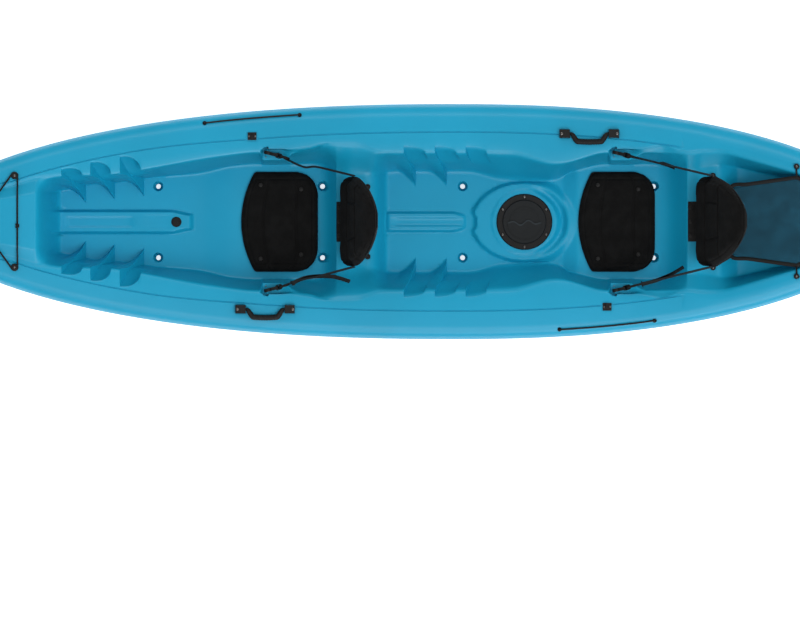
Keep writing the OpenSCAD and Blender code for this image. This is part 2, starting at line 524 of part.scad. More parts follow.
// strap hooks: ring end in the deck eye, slot end on the webbing; d = along, v = up
eye_up = 19;
eye_half = 19;
function eye_c(f, s) = let(p = eyes[(f ? 0 : 2) + (s < 0 ? 0 : 1)]) p + [0, 0, eye_up];
function strap_end(f, s) = on_back(f, -14, s * (back_half(0.42) + strap_thick / 2 + 0.4), 148);
function hook_d(f, s) = unit(strap_end(f, s) - eye_c(f, s));
module on_hook(f, s) {
  d = hook_d(f, s);
  v = unit([0, 0, 1] - d * d[2]);
  n = cross(d, v);
  c = eye_c(f, s) + 5 * d;
  multmatrix([[d[0], v[0], n[0], c[0]], [d[1], v[1], n[1], c[1]], [d[2], v[2], n[2], c[2]]]) children();
}
gate_pin = [5, -10.6];
nose = -6.5;
gate_gap = 0.5;
module hook(f, s) color(black) on_hook(f, s) difference() {
  translate([0, 0, -bar_half]) linear_extrude(2 * bar_half) difference() {
    union() {
      circle(r = 15);
      translate([11, -7]) square([14, 14]);
      translate([24, -strap_width / 2 - 4]) square([17, strap_width + 8]);
    }
    circle(r = 8.6);
    translate([29, -strap_width / 2 - 0.6]) square([7, strap_width + 1.2]);
    translate([nose, -17]) square([1 - nose, 12]);
  }
  translate([0, -20, -3.4]) cube([10, 14.2, 6.8]);
  translate([gate_pin[0], gate_pin[1], -20]) cylinder(h = 40, r = 1.56);
}
module gate(f, s) color(steel) on_hook(f, s) union() {
  translate([0, 0, -3]) linear_extrude(6) union() {
    translate(gate_pin) circle(r = 3.8);
    polygon([gate_pin + [0, 3.4], gate_pin + [0, -3.4], [nose + gate_gap, -11.4], [nose + gate_gap, -7.8]]);
  }
  translate([gate_pin[0], gate_pin[1], -6]) cylinder(h = 12, r = 1.5);
}
// main webbing from the hook to the side of the backrest, then a loose tail from the same slot
function strap_from(f, s) = eye_c(f, s) + 55 * hook_d(f, s);
// the webbing runs through the slot of the hook and round its bar
bar_half = 6;
slot_loop = let(y = bar_half + strap_thick / 2 + 0.5)
  [[49, 1.3], [43, y], [36, y], [32.6, 0.6 * y], [32.6, -0.6 * y], [36, -y], [43, -y], [49, -1.3]];
module webbing_loop(f, s) on_hook(f, s)
  band([for (p = slot_loop) [p[0], 0, p[1]]], strap_width, [0, 1, 0], true);
module strap(f, s, bow, tail, k = 2) color(black) {
  a = strap_from(f, s);
  b = strap_end(f, s);
  m = (a + b) / 2;
  way = smooth([a, a + (b - a) * 0.3 + [0, -s * bow, 0], m + [0, s * bow * 0.5, -4], b], 4);
  union() {
    webbing_loop(f, s);
    band(way, strap_width);
    if (len(tail) > 1)
      band(smooth(concat([way[k]], [for (p = tail) [p[0], s * p[1], p[2]]]), 3), strap_width * 0.8);
  }
}
front_tail = [[-404, 220, 314], [-364, 203, 312], [-310, 197, 306], [-256, 200, 300], [-202, 216, 296]];
rear_tail = [[850, 226, 322], [900, 212, 326], [950, 192, 328], [998, 164, 330]];
short_tail = [[930, 206, 332], [966, 193, 326]];

// deck eyes for the hooks, with two screws each
eye_screw = eye_half - 3.2;
module each_eye() for (f = [true, false]) for (s = [-1, 1]) let(p = eyes[(f ? 0 : 2) + (s < 0 ? 0 : 1)],
  d = hook_d(f, s)) translate(p) rotate(atan2(d[1], d[0]) + 90) children();
module strap_eyes() color(black) each_eye() difference() {
  union() {
    translate([-eye_half, -9, 0]) cube([2 * eye_half, 18, 3]);
    for (e = [-1, 1]) translate([e * 10.5, 0, 2]) cylinder(h = eye_up - 2, r = 2.6);
    translate([-10.5, 0, eye_up]) rotate([0, 90, 0]) cylinder(h = 21, r = 2.6);
    for (e = [-1, 1]) translate([e * 10.5, 0, eye_up]) sphere(r = 2.6);
  }
  for (e = [-1, 1]) translate([e * eye_screw, 0, -5]) cylinder(h = 20, r = 1.7);
}
module strap_eye_screws() color(steel) each_eye() for (e = [-1, 1]) translate([e * eye_screw, 0, 3])
  rotate_extrude() polygon([[0, -8], [1.5, -8], [1.5, 0], [2.3, 0], [2, 1.2], [0, 1.6]]);

// elastic stays behind each backrest, and their deck eyes
stay_r = 1.8;
function stay_top(f, s) = let(p = back_at(0, 0.5, board_gap + board_thick + stay_r + 0.5, board_in))
  on_back(f, p[0], s * 96, p[2]);
function stay_foot(f, s) = stays_at[(f ? 0 : 2) + (s < 0 ? 0 : 1)] + [0, 0, 9];
module stays(f) color(black) for (s = [-1, 1]) cord([for (t = [0, 0.5, 1])
  stay_top(f, s) * (1 - t) + stay_foot(f, s) * t], stay_r);
module stay_eyes() color(black) for (p = stays_at) translate(p) union() {
  cylinder(h = 3, r = 10);
  translate([0, 0, 2]) cylinder(h = 4, r = 4.5);
}

// folding handles: pins in two brackets, arms and a round grip
module on_handle(i) translate([handle_at[i][0], handle_at[i][1], handle_at[i][2] + pivot_up(i)])
  rotate(handle_turn[i]) children();
module handle(i) color(black) on_handle(i) {
  // the grip of the starboard handle lies inboard, which is the same side of the frame
  e = span(i) / 2 - 20;
  union() {
    for (s = [-1, 1]) {
      translate([s * (e + 6), 0, 0]) rotate([0, s * 90, 0]) translate([0, 0, -12])
        cylinder(h = 26, r = pin_r);
      translate([s * (e - 6), 0, 0]) rotate([90, 0, 0]) cylinder(h = handle_reach, r = 6.2);
      translate([s * (e - 6), 0, 0]) sphere(r = 6.2);
      translate([s * (e - 6), -handle_reach, 0]) sphere(r = grip_r);
    }
    translate([6 - e, -handle_reach, 0]) rotate([0, 90, 0]) cylinder(h = 2 * e - 12, r = grip_r);
  }
}
bracket_over = 8;
module each_bracket(i) on_handle(i) for (s = [-1, 1])
  translate([s * span(i) / 2, 0, -pivot_up(i)]) rotate(s > 0 ? 0 : 180) children();
module handle_brackets() color(black) for (i = [0:3]) each_bracket(i) difference() {
  translate([-18, -15, 0]) cube([36, 30, pivot_up(i) + bracket_over]);
  translate([-19, 0, pivot_up(i)]) rotate([0, 90, 0]) cylinder(h = 23, r = pin_r + 0.06);
  translate([11, 0, -5]) cylinder(h = 60, r = 2.6);
}
module bracket_screws() color(steel) for (i = [0:3]) let(h = pivot_up(i) + bracket_over)
  each_bracket(i) translate([11, 0, h]) rotate_extrude()
    polygon([[0, -h - 5], [2.2, -h - 5], [2.2, 0], [5, 0], [4.4, 1.8], [0, 2.6]]);

// bow deck line: an elastic loop round three buttons
rivet_r = 2;
module bow_buttons() color(black) for (p = bow_pins) translate(p) rotate_extrude()
  polygon([[rivet_r + 0.1, 0], [button_r, 0], [button_r, 3], [7, 4.5], [7, 12], [button_r - 1.5, 13],
    [button_r - 2, 16], [rivet_r + 0.1, 16]]);
module button_rivets() color(steel) for (p = bow_pins) translate(p + [0, 0, 16]) rotate_extrude()
  polygon([[0, -21], [rivet_r, -21], [rivet_r, 0], [4.6, 0], [3.6, 1.8], [0, 2.6]]);
loop_r = 7 + cord_r + 0.4;
function bow_z(x, y) = max(bow_pins[1][2] + 8.2,
  max([for (d = [-10, 0, 10]) high_z(x, y + d, 8)]) + cord_r + 1);
// the cord leaves each pin along the line to the next one
bow_turn = let(a = bow_pins[1], c = bow_pins[2]) unit([c[1] - a[1], a[0] - c[0], 0]);
bow_wrap = atan2(bow_turn[1], bow_turn[0]);
function bow_leg(t, s) = let(p = bow_pins[1] * (1 - t) + bow_pins[2] * t + loop_r * bow_turn)
  [p[0], s * p[1], max(p[2] + 8.2, bow_z(p[0], p[1]))];
bow_across = [128, 114, 102, 90, 60, 30];
bow_route = let(a = bow_pins[1], c = bow_pins[2], x2 = a[0] + loop_r) concat(
  [for (y = bow_across) [x2, -y, bow_z(x2, y)]], [[x2, 0, bow_z(x2, 0)]],
  [for (i = [len(bow_across) - 1:-1:0]) [x2, bow_across[i], bow_z(x2, bow_across[i])]],
  [for (k = [0:5]) let(t = bow_wrap * k / 5)
    [a[0] + loop_r * cos(t), a[1] + loop_r * sin(t), a[2] + 8.2]],
  [for (k = [1:6]) bow_leg(k / 7, 1)],
  [for (k = [0:4]) let(t = bow_wrap + (360 - 2 * bow_wrap) * k / 4)
    [c[0] + loop_r * cos(t), loop_r * sin(t), c[2] + 8.2]],
  [for (k = [6:-1:1]) bow_leg(k / 7, -1)],
  [for (k = [5:-1:0]) let(t = -bow_wrap * k / 5)
    [a[0] + loop_r * cos(t), -a[1] + loop_r * sin(t), a[2] + 8.2]]);
knot_r = 8;
module bow_cord() color(black) union() {
  cord(bow_route, cord_r, 8, true);
  translate([bow_pins[1][0] + loop_r, -16, bow_z(bow_pins[1][0] + loop_r, 16) + knot_r - cord_r])
    sphere(r = knot_r, $fn = 12);
}

// paddle keepers: an elastic cord along the shoulder, held by two eyelets, and a hook inboard of it
function keeper_route(i) = let(m = keeper_mid[i], e0 = keeper_ends[2 * i], e1 = keeper_ends[2 * i + 1])
  concat([e0 + [0, 0, -3], e0 + [0, 0, 3], e0 + [5, 0, 9]],
    [for (k = [1:5]) let(x = e0[0] + (e1[0] - e0[0]) * k / 6, y = keeper_y(x))
      [x, m[1] * y, high_z(x, y - cord_r, 10) + cord_r + 1.2]],
    [e1 + [-5, 0, 9], e1 + [0, 0, 3], e1 + [0, 0, -3]]);
module keeper_cord(i) color(black) cord(smooth(keeper_route(i), 2), cord_r);
module keeper_eyelets() color(black) for (p = keeper_ends) translate(p) rotate_extrude()
  polygon([[cord_r + 0.3, -4], [eyelet_r, -4], [eyelet_r, 0], [7.5, 0], [7, 2], [cord_r + 0.3, 2]]);
module keeper_hooks() color(black) for (i = [0, 1]) translate(keeper_hooks_at[i])
  rotate(keeper_mid[i][1] > 0 ? 0 : 180) difference() {
    union() {
      translate([-16, -14, 0]) cube([32, 28, 3]);
      translate([-5, -4, 2]) cube([10, 8, 12]);
      translate([-5, -14, 11]) cube([10, 18, 4]);
    }
    for (e = [-1, 1]) translate([e * 11, 0, -5]) cylinder(h = 20, r = 2);
  }
module keeper_screws() color(steel) for (i = [0, 1]) translate(keeper_hooks_at[i]) for (e = [-1, 1])
  translate([e * 11, 0, 3]) rotate_extrude()
    polygon([[0, -8], [1.7, -8], [1.7, 0], [3.6, 0], [3, 1.4], [0, 2]]);

// tank well cover: a mesh sheet held in a cord, on six anchors
cover_line = [[cover_x, cover_half - 22], [cover_mid, cover_half + 10],
  [cover_x + cover_length, cover_half - 62]];
// how far the edge of the cover lies under the line of the side deck
cover_drop = [[cover_x, 31], [cover_mid, 7], [cover_x + cover_length, 11]];
cover_us = [0, 0.14, 0.28, 0.42, 0.54, 0.66, 0.78, 0.9, 1];
cover_vs = [-1, -0.7, -0.35, 0, 0.35, 0.7, 1];
edge_cord_r = cord_r + 1;
neck_r = 5;
function cover_at(u, v, w, in = 0) = let(x = cover_x + u * cover_length, y = v * (lookup(x, cover_line) - in))
  [x, y, sheer(x) - lookup(x, cover_drop) - 10 * sin(180 * u) * (1 - v * v) + w];
module tank_cover() color([0.1, 0.25, 0.34, 0.8]) sheet(cover_us, cover_vs, 0, 0,
  [for (u = cover_us) for (v = cover_vs) cover_at(0.012 + 0.976 * u, v, 0.8, edge_cord_r + rest_gap)],
  [for (u = cover_us) for (v = cover_vs) cover_at(0.012 + 0.976 * u, v, -0.8, edge_cord_r + rest_gap)]);
cover_edge = concat([for (u = cover_us) cover_at(u, 1, 0)], [for (v = [0.5, 0, -0.5]) cover_at(1.012, v, 0)],
  [for (i = [len(cover_us) - 1:-1:0]) cover_at(cover_us[i], -1, 0)],
  [for (v = [-0.5, 0, 0.5]) cover_at(-0.012, v, 0)]);
module cover_cord() color(black) union() {
  cord(cover_edge, edge_cord_r, 8, true);
  for (p = anchors) let(u = max(0, (p[0] - cover_x) / cover_length), q = cover_at(u, p[1] > 0 ? 1 : -1, 0))
    let(r = unit([q[0] - p[0], q[1] - p[1], 0]), e = p + [0, 0, 8])
    cord([q, (q + e) / 2 + [0, 0, 6], e + 14 * r, e + (neck_r + 0.4) * r], cord_r, 8);
}
module cover_anchors() color(black) for (p = anchors) translate(p) rotate_extrude()
  polygon([[rivet_r + 0.1, 0], [10, 0], [10, 2.5], [neck_r, 4], [neck_r, 12], [9, 13], [8.5, 16],
    [rivet_r + 0.1, 16]]);
module anchor_screws() color(steel) for (p = anchors) translate(p + [0, 0, 16]) rotate_extrude()
  polygon([[0, -21], [rivet_r, -21], [rivet_r, 0], [4, 0], [3.4, 1.4], [0, 2]]);

hull_shell();
hatch_cup();
hatch_ring();
hatch_screws();
hatch_gasket();
hatch_lid();
drain_socket();
drain_gasket();
drain_plug();
seat_pad(true);  // front_seat_pad
pad_snaps(true);  // front_pad_snaps
seat_pad(false);  // rear_seat_pad
pad_snaps(false);  // rear_pad_snaps
back_cushion(true);  // front_back_cushion
back_board(true);  // front_back_board
back_hinge(true);  // front_back_hinge
hinge_bolts(true);  // front_hinge_bolts
back_cushion(false);  // rear_back_cushion
back_board(false);  // rear_back_board
back_hinge(false);  // rear_back_hinge
hinge_bolts(false);  // rear_hinge_bolts
strap(true, -1, 4, front_tail);  // front_strap_port
strap(true, 1, 16, []);  // front_strap_starboard
strap(false, -1, 0, rear_tail, 3);  // rear_strap_port
strap(false, 1, 0, short_tail, 5);  // rear_strap_starboard
strap_eyes();
strap_eye_screws();
hook(true, -1);  // front_hook_port
hook(true, 1);  // front_hook_starboard
hook(false, -1);  // rear_hook_port
hook(false, 1);  // rear_hook_starboard
gate(true, -1);  // front_gate_port
gate(true, 1);  // front_gate_starboard
gate(false, -1);  // rear_gate_port
gate(false, 1);  // rear_gate_starboard
stays(true);  // front_stays
stays(false);  // rear_stays
stay_eyes();
handle(0);  // port_handle
handle(1);  // starboard_handle
handle(2);  // bow_handle
handle(3);  // stern_handle
handle_brackets();
bracket_screws();
bow_cord();
bow_buttons();
button_rivets();
keeper_cord(1);  // keeper_cord_port
keeper_cord(0);  // keeper_cord_starboard
keeper_eyelets();
keeper_hooks();
keeper_screws();
tank_cover();
cover_cord();
cover_anchors();
anchor_screws();
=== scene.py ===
"""Visual pieces of a tandem sit-on-top kayak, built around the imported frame."""
import json
import math

import bmesh
import bpy
import numpy as np
from bpy.props import FloatProperty, FloatVectorProperty, IntProperty, PointerProperty
from mathutils import Matrix

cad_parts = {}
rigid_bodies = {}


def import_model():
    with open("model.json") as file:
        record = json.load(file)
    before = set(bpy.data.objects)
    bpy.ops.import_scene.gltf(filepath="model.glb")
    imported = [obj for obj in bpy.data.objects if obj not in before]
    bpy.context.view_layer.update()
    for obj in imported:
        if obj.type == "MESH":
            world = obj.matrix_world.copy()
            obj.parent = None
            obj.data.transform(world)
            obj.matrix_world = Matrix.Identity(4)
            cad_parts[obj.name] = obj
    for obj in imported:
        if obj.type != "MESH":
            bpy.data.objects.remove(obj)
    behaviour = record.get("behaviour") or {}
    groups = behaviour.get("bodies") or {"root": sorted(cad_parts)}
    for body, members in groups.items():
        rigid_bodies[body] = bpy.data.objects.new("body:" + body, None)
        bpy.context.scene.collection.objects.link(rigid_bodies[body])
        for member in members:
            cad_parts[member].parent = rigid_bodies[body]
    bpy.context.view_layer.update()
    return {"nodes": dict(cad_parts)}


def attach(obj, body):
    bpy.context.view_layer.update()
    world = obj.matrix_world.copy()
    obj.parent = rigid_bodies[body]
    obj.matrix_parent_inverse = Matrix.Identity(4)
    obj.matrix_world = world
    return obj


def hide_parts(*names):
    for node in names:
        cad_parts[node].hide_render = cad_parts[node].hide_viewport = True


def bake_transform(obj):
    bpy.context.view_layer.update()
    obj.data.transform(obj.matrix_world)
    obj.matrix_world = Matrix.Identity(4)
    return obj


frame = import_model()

bl_info = {
    "name": "Tandem kayak",
    "version": (1, 0, 0),
    "blender": (4, 5, 0),
    "location": "View3D > Sidebar > Kayak",
    "description": "Builds a two-seat sit-on-top kayak, its seats, deck lines and fittings",
    "category": "Object",
}

NODES = frame["nodes"]
MM = 0.001


def srgb(r, g, b):
    """A screen colour from 0 to 255 as the linear colour that shaders use."""
    return tuple((c / 255 / 12.92) if c < 11 else ((c / 255 + 0.055) / 1.055) ** 2.4 for c in (r, g, b))


# Sizes and colours

def colour_of(label, says, rgb):
    return FloatVectorProperty(name=label, description=says, subtype="COLOR", size=3, min=0, max=1,
                               default=srgb(*rgb))


def length_of(label, says, metres):
    return FloatProperty(name=label, description=says, default=metres, min=0, unit="LENGTH", precision=4)


class KayakHullSizes(bpy.types.PropertyGroup):
    """Sizes and colour of the moulded hull."""
    colour: colour_of("Hull plastic", "Colour of the moulded hull", (17, 143, 179))
    spacing: length_of("Station spacing", "Distance between stations where the hull is plain", 0.016)
    groove_deep: length_of("Groove depth", "Depth of the groove in the side deck", 0.0038)
    groove_half: length_of("Groove half width", "Half the width of the groove", 0.0026)
    ledge: length_of("Gunwale ledge", "How far the gunwale band stands over the side below it", 0.005)
    scupper: length_of("Scupper radius", "Radius of a scupper bore", 0.009)
    funnel: length_of("Funnel radius", "Radius of the dished mouth of a scupper", 0.018)


class KayakSeatSizes(bpy.types.PropertyGroup):
    """Sizes and colours of the two folding seats."""
    fabric: colour_of("Seat fabric", "Colour of the pads and backrests", (13, 13, 13))
    webbing: colour_of("Webbing", "Colour of the seat straps", (14, 14, 14))
    voxel: length_of("Remesh size", "Voxel size of the padded pieces before they are filled", 0.0055)
    pad_swell: length_of("Pad swell", "Furthest that the fabric of a seat pad moves when it is filled", 0.005)
    back_swell: length_of("Back swell", "Furthest that the fabric of a back cushion moves when filled", 0.009)
    channel: length_of("Channel depth", "Depth of the sewn channels", 0.004)
    piping: length_of("Piping radius", "Radius of the piping round the pads", 0.0026)
    strap: length_of("Strap width", "Width of the seat webbing", 0.032)
    strap_thick: length_of("Strap thickness", "Thickness of the seat webbing", 0.0024)


class KayakDeckSizes(bpy.types.PropertyGroup):
    """Sizes and colours of the deck lines and fittings."""
    black: colour_of("Black plastic", "Colour of the moulded fittings", (15, 15, 15))
    lid: colour_of("Hatch lid", "Colour of the hatch lid", (23, 28, 31))
    cord: length_of("Cord radius", "Radius of the elastic deck cords", 0.0032)
    stay: length_of("Stay radius", "Radius of the cords behind the backrests", 0.0018)
    mesh: colour_of("Mesh cloth", "Colour of the threads of the stern cover", (22, 66, 84))
    mesh_pitch: length_of("Mesh pitch", "Distance between two threads of the stern cover", 0.0032)
    grip: length_of("Grip radius", "Radius of a carry handle's grip", 0.0102)
    sides: IntProperty(name="Cord sides", description="Sides of a cord's section", default=10, min=6, max=24)


# Shader expressions

class Value:
    """A socket that can be used in a Python expression; each operator adds a Math node."""

    def __init__(self, finish, socket):
        self.finish, self.socket = finish, socket

    def math(self, operation, *values):
        return self.finish.node("ShaderNodeMath", {"operation": operation}, dict(enumerate(values)))

    def __add__(self, other):
        return self.math("ADD", self, other)

    def __sub__(self, other):
        return self.math("SUBTRACT", self, other)

    def __rsub__(self, other):
        return self.math("SUBTRACT", other, self)

    def __mul__(self, other):
        return self.math("MULTIPLY", self, other)

    def __truediv__(self, other):
        return self.math("DIVIDE", self, other)

    def sine(self):
        return self.math("SINE", self)

    def size(self):
        return self.math("ABSOLUTE", self)

    def over(self, low, high):
        """0 below low, 1 above high, and a smooth rise between them."""
        return self.finish.node("ShaderNodeMapRange", {"interpolation_type": "SMOOTHSTEP", "clamp": True},
                                {0: self, 1: low, 2: high})


class Finish:
    """One procedural material round a Principled shader."""

    def __init__(self, name, **constants):
        self.material = bpy.data.materials.new(name)
        self.material.use_nodes = True
        self.tree = self.material.node_tree
        self.shader = self.tree.nodes["Principled BSDF"]
        for socket, value in constants.items():
            self.shader.inputs[socket.replace("_", " ")].default_value = value

    def node(self, kind, settings, inputs, output=0):
        made = self.tree.nodes.new(kind)
        for key, value in settings.items():
            setattr(made, key, value)
        for key, value in inputs.items():
            if isinstance(value, Value):
                self.tree.links.new(value.socket, made.inputs[key])
            else:
                made.inputs[key].default_value = value
        return Value(self, made.outputs[output])

    def feed(self, **values):
        for socket, value in values.items():
            self.tree.links.new(value.socket, self.shader.inputs[socket.replace("_", " ")])
        return self.material

    def place(self):
        return self.node("ShaderNodeTexCoord", {}, {}, "Object")

    def unwrapped(self):
        return self.node("ShaderNodeTexCoord", {}, {}, "UV")

    def axes(self, vector):
        return [self.node("ShaderNodeSeparateXYZ", {}, {0: vector}, i) for i in range(3)]

    def stretch(self, vector, scale):
        return self.node("ShaderNodeMapping", {}, {"Vector": vector, "Scale": scale})

    def noise(self, vector, scale, detail=3.0):
        return self.node("ShaderNodeTexNoise", {}, {"Vector": vector, "Scale": scale, "Detail": detail})

    def mix(self, share, first, second):
        four = [v if isinstance(v, Value) else (*v, 1.0) for v in (first, second)]
        return self.node("ShaderNodeMix", {"data_type": "RGBA"}, {0: share, 6: four[0], 7: four[1]}, 2)

    def bump(self, height, strength, distance):
        return self.node("ShaderNodeBump", {}, {"Strength": strength, "Distance": distance, "Height": height})


def shade(colour, factor):
    return tuple(min(1.0, c * factor) for c in colour)


def hull_plastic(colour):
    f = Finish("hull_plastic", Specular_IOR_Level=0.12)
    at = f.place()
    cloud = f.noise(at, 2.2, 4)
    speck = f.noise(at, 240, 3)
    grain = f.noise(at, 1300, 2)
    lines = f.noise(f.stretch(at, (5, 160, 160)), 1.0, 3)
    low = 1 - f.axes(at)[2].over(0.015, 0.085)
    scuff = lines.over(0.58, 0.68) * low * 0.4 + f.noise(at, 60, 4).over(0.66, 0.74) * low * 0.3
    base = f.mix(cloud.over(0.3, 0.7), shade(colour, 0.94), shade(colour, 1.05))
    base = f.mix(scuff, base, shade(colour, 1.9))
    return f.feed(Base_Color=base, Roughness=speck * 0.16 + scuff * 0.2 + 0.3,
                  Normal=f.bump(grain * 0.6 + speck, 0.12, 0.0005))


def lid_wave_highlight(f, at):
    """A painted highlight along the step across the hatch lid, in the form of a wave that dies out towards
    the rim.
    """
    radians_per_metre, height, reach, below = 104.72, 0.009, 0.06, 0.0035
    x, y, _ = f.axes(at)
    x = x - HATCH_X * MM
    wave = (x * radians_per_metre).sine() * (1 - x * x / reach ** 2) * height
    inside = 1 - x.size().over(reach - 0.004, reach + 0.004)
    return (1 - (y - wave + below).size().over(0.001, 0.0036)) * inside


def moulded_black(name, colour, roughness=0.42, pitch=900, highlight_line=None):
    f = Finish(name, Specular_IOR_Level=0.11)
    at = f.place()
    grain = f.noise(at, pitch, 3)
    cloud = f.noise(at, 45, 3)
    worn = f.noise(at, 130, 4).over(0.62, 0.78)
    base = f.mix(worn * 0.5, f.mix(cloud, shade(colour, 0.85), shade(colour, 1.2)), shade(colour, 1.9))
    # the line is a painted highlight on the lit side of the lid's wave step; after it the whole lid is mixed
    # halfway towards near black
    if highlight_line:
        base = f.mix(0.5, f.mix(highlight_line(f, at), base, shade(colour, 4.0)), shade(colour, 0.04))
    return f.feed(Base_Color=base, Roughness=grain * 0.16 + worn * 0.1 + roughness,
                  Normal=f.bump(grain, 0.25, 0.0004))


def rubber(name, colour):
    f = Finish(name, Specular_IOR_Level=0.12)
    at = f.place()
    dust = f.noise(at, 90, 5)
    fine = f.noise(at, 1500, 2)
    return f.feed(Base_Color=f.mix(dust.over(0.45, 0.75), colour, shade(colour, 1.8)),
                  Roughness=fine * 0.12 + 0.62, Normal=f.bump(fine, 0.3, 0.0004))


def steel(name="steel", tone=(150, 152, 156)):
    f = Finish(name)
    at = f.place()
    brushed = f.noise(f.stretch(at, (60, 900, 60)), 1.0, 2)
    dull = f.noise(at, 160, 4)
    return f.feed(Base_Color=f.mix(dull, srgb(*tone), shade(srgb(*tone), 1.25)),
                  Metallic=dull * 0.1 + 0.88, Roughness=brushed * 0.14 + dull * 0.12 + 0.2,
                  Normal=f.bump(brushed, 0.1, 0.0002))


def seat_fabric(colour):
    f = Finish("seat_fabric", Sheen_Weight=0.008, Sheen_Roughness=0.5, Specular_IOR_Level=0.04)
    at = f.place()
    x, y, z = f.axes(at)
    turn = 2 * math.pi / 0.0021
    warp, weft = (y * turn).sine(), ((x + z) * turn).sine()
    weave = warp * weft * 0.5 + 0.5
    fold = f.noise(at, 26, 4)
    lint = f.noise(at, 700, 2).over(0.66, 0.75)
    base = f.mix(fold.over(0.35, 0.7), shade(colour, 0.75), shade(colour, 1.35))
    base = f.mix(weave * 0.25 + lint * 0.12, base, shade(colour, 2.6))
    return f.feed(Base_Color=base, Roughness=weave * 0.1 + 0.78,
                  Normal=f.bump(weave * 0.5 + fold * 2.0, 0.35, 0.0012))


def strap_webbing(colour):
    f = Finish("seat_webbing", Sheen_Weight=0.01, Specular_IOR_Level=0.1)
    along, across, _ = f.axes(f.unwrapped())
    ribs = (across * (2 * math.pi * 28)).sine()
    picks = (along * (2 * math.pi / 0.0022)).sine()
    weave = ribs * 0.35 + picks * ribs * 0.35 + 0.5
    worn = f.noise(f.place(), 120, 4)
    base = f.mix(weave * 0.5 * worn, shade(colour, 0.8), shade(colour, 2.4))
    return f.feed(Base_Color=base, Roughness=worn * 0.15 + 0.62, Normal=f.bump(weave, 0.5, 0.0006))


def braided_cord(colour):
    f = Finish("shock_cord", Sheen_Weight=0.01, Specular_IOR_Level=0.12)
    along, across, _ = f.axes(f.unwrapped())
    one = ((along / 0.0055 + across * 4) * (2 * math.pi)).sine()
    two = ((along / 0.0055 - across * 4) * (2 * math.pi)).sine()
    braid = one * two * 0.5 + 0.5
    fleck = f.noise(f.place(), 300, 2).over(0.6, 0.7)
    base = f.mix(braid * 0.4 + fleck * 0.1, shade(colour, 0.8), shade(colour, 2.4))
    return f.feed(Base_Color=base, Roughness=braid * 0.12 + 0.6, Normal=f.bump(braid, 0.5, 0.0006))


def mesh_cloth(colour, pitch):
    f = Finish("mesh_cloth", Sheen_Weight=0.01, Specular_IOR_Level=0.08, Roughness=0.7)
    at = f.place()
    x, y, _ = f.axes(at)
    turn = 2 * math.pi / pitch
    warp = ((x + y) * (turn * 0.7071)).sine()
    weft = ((x - y) * (turn * 0.7071)).sine()
    holes = (warp * weft).over(-0.15, 0.25)
    dust = f.noise(at, 14, 4)
    base = f.mix(dust.over(0.35, 0.7), shade(colour, 0.9), shade(colour, 1.3))
    return f.feed(Base_Color=base, Alpha=1 - holes * 0.42, Normal=f.bump(warp * weft, 0.3, 0.0005))


FINISH = {}


def finishes():
    """All materials, made once from the sizes and colours."""
    if not FINISH:
        seat, deck = bpy.context.scene.kayak_seat, bpy.context.scene.kayak_deck
        black = tuple(deck.black)
        FINISH.update(
            hull_plastic=hull_plastic(tuple(bpy.context.scene.kayak_hull.colour)),
            black_plastic=moulded_black("black_plastic", black),
            lid_plastic=moulded_black("lid_plastic", tuple(deck.lid), 0.46, 700, lid_wave_highlight),
            grip_rubber=rubber("grip_rubber", black),
            seal_rubber=rubber("seal_rubber", srgb(26, 26, 27)),
            seat_fabric=seat_fabric(tuple(seat.fabric)),
            webbing=strap_webbing(tuple(seat.webbing)),
            shock_cord=braided_cord(black),
            mesh_cloth=mesh_cloth(tuple(deck.mesh), deck.mesh_pitch),
            steel=steel(),
            dull_steel=steel("dull_steel", (66, 65, 64)),
        )
    return FINISH


# Shapes

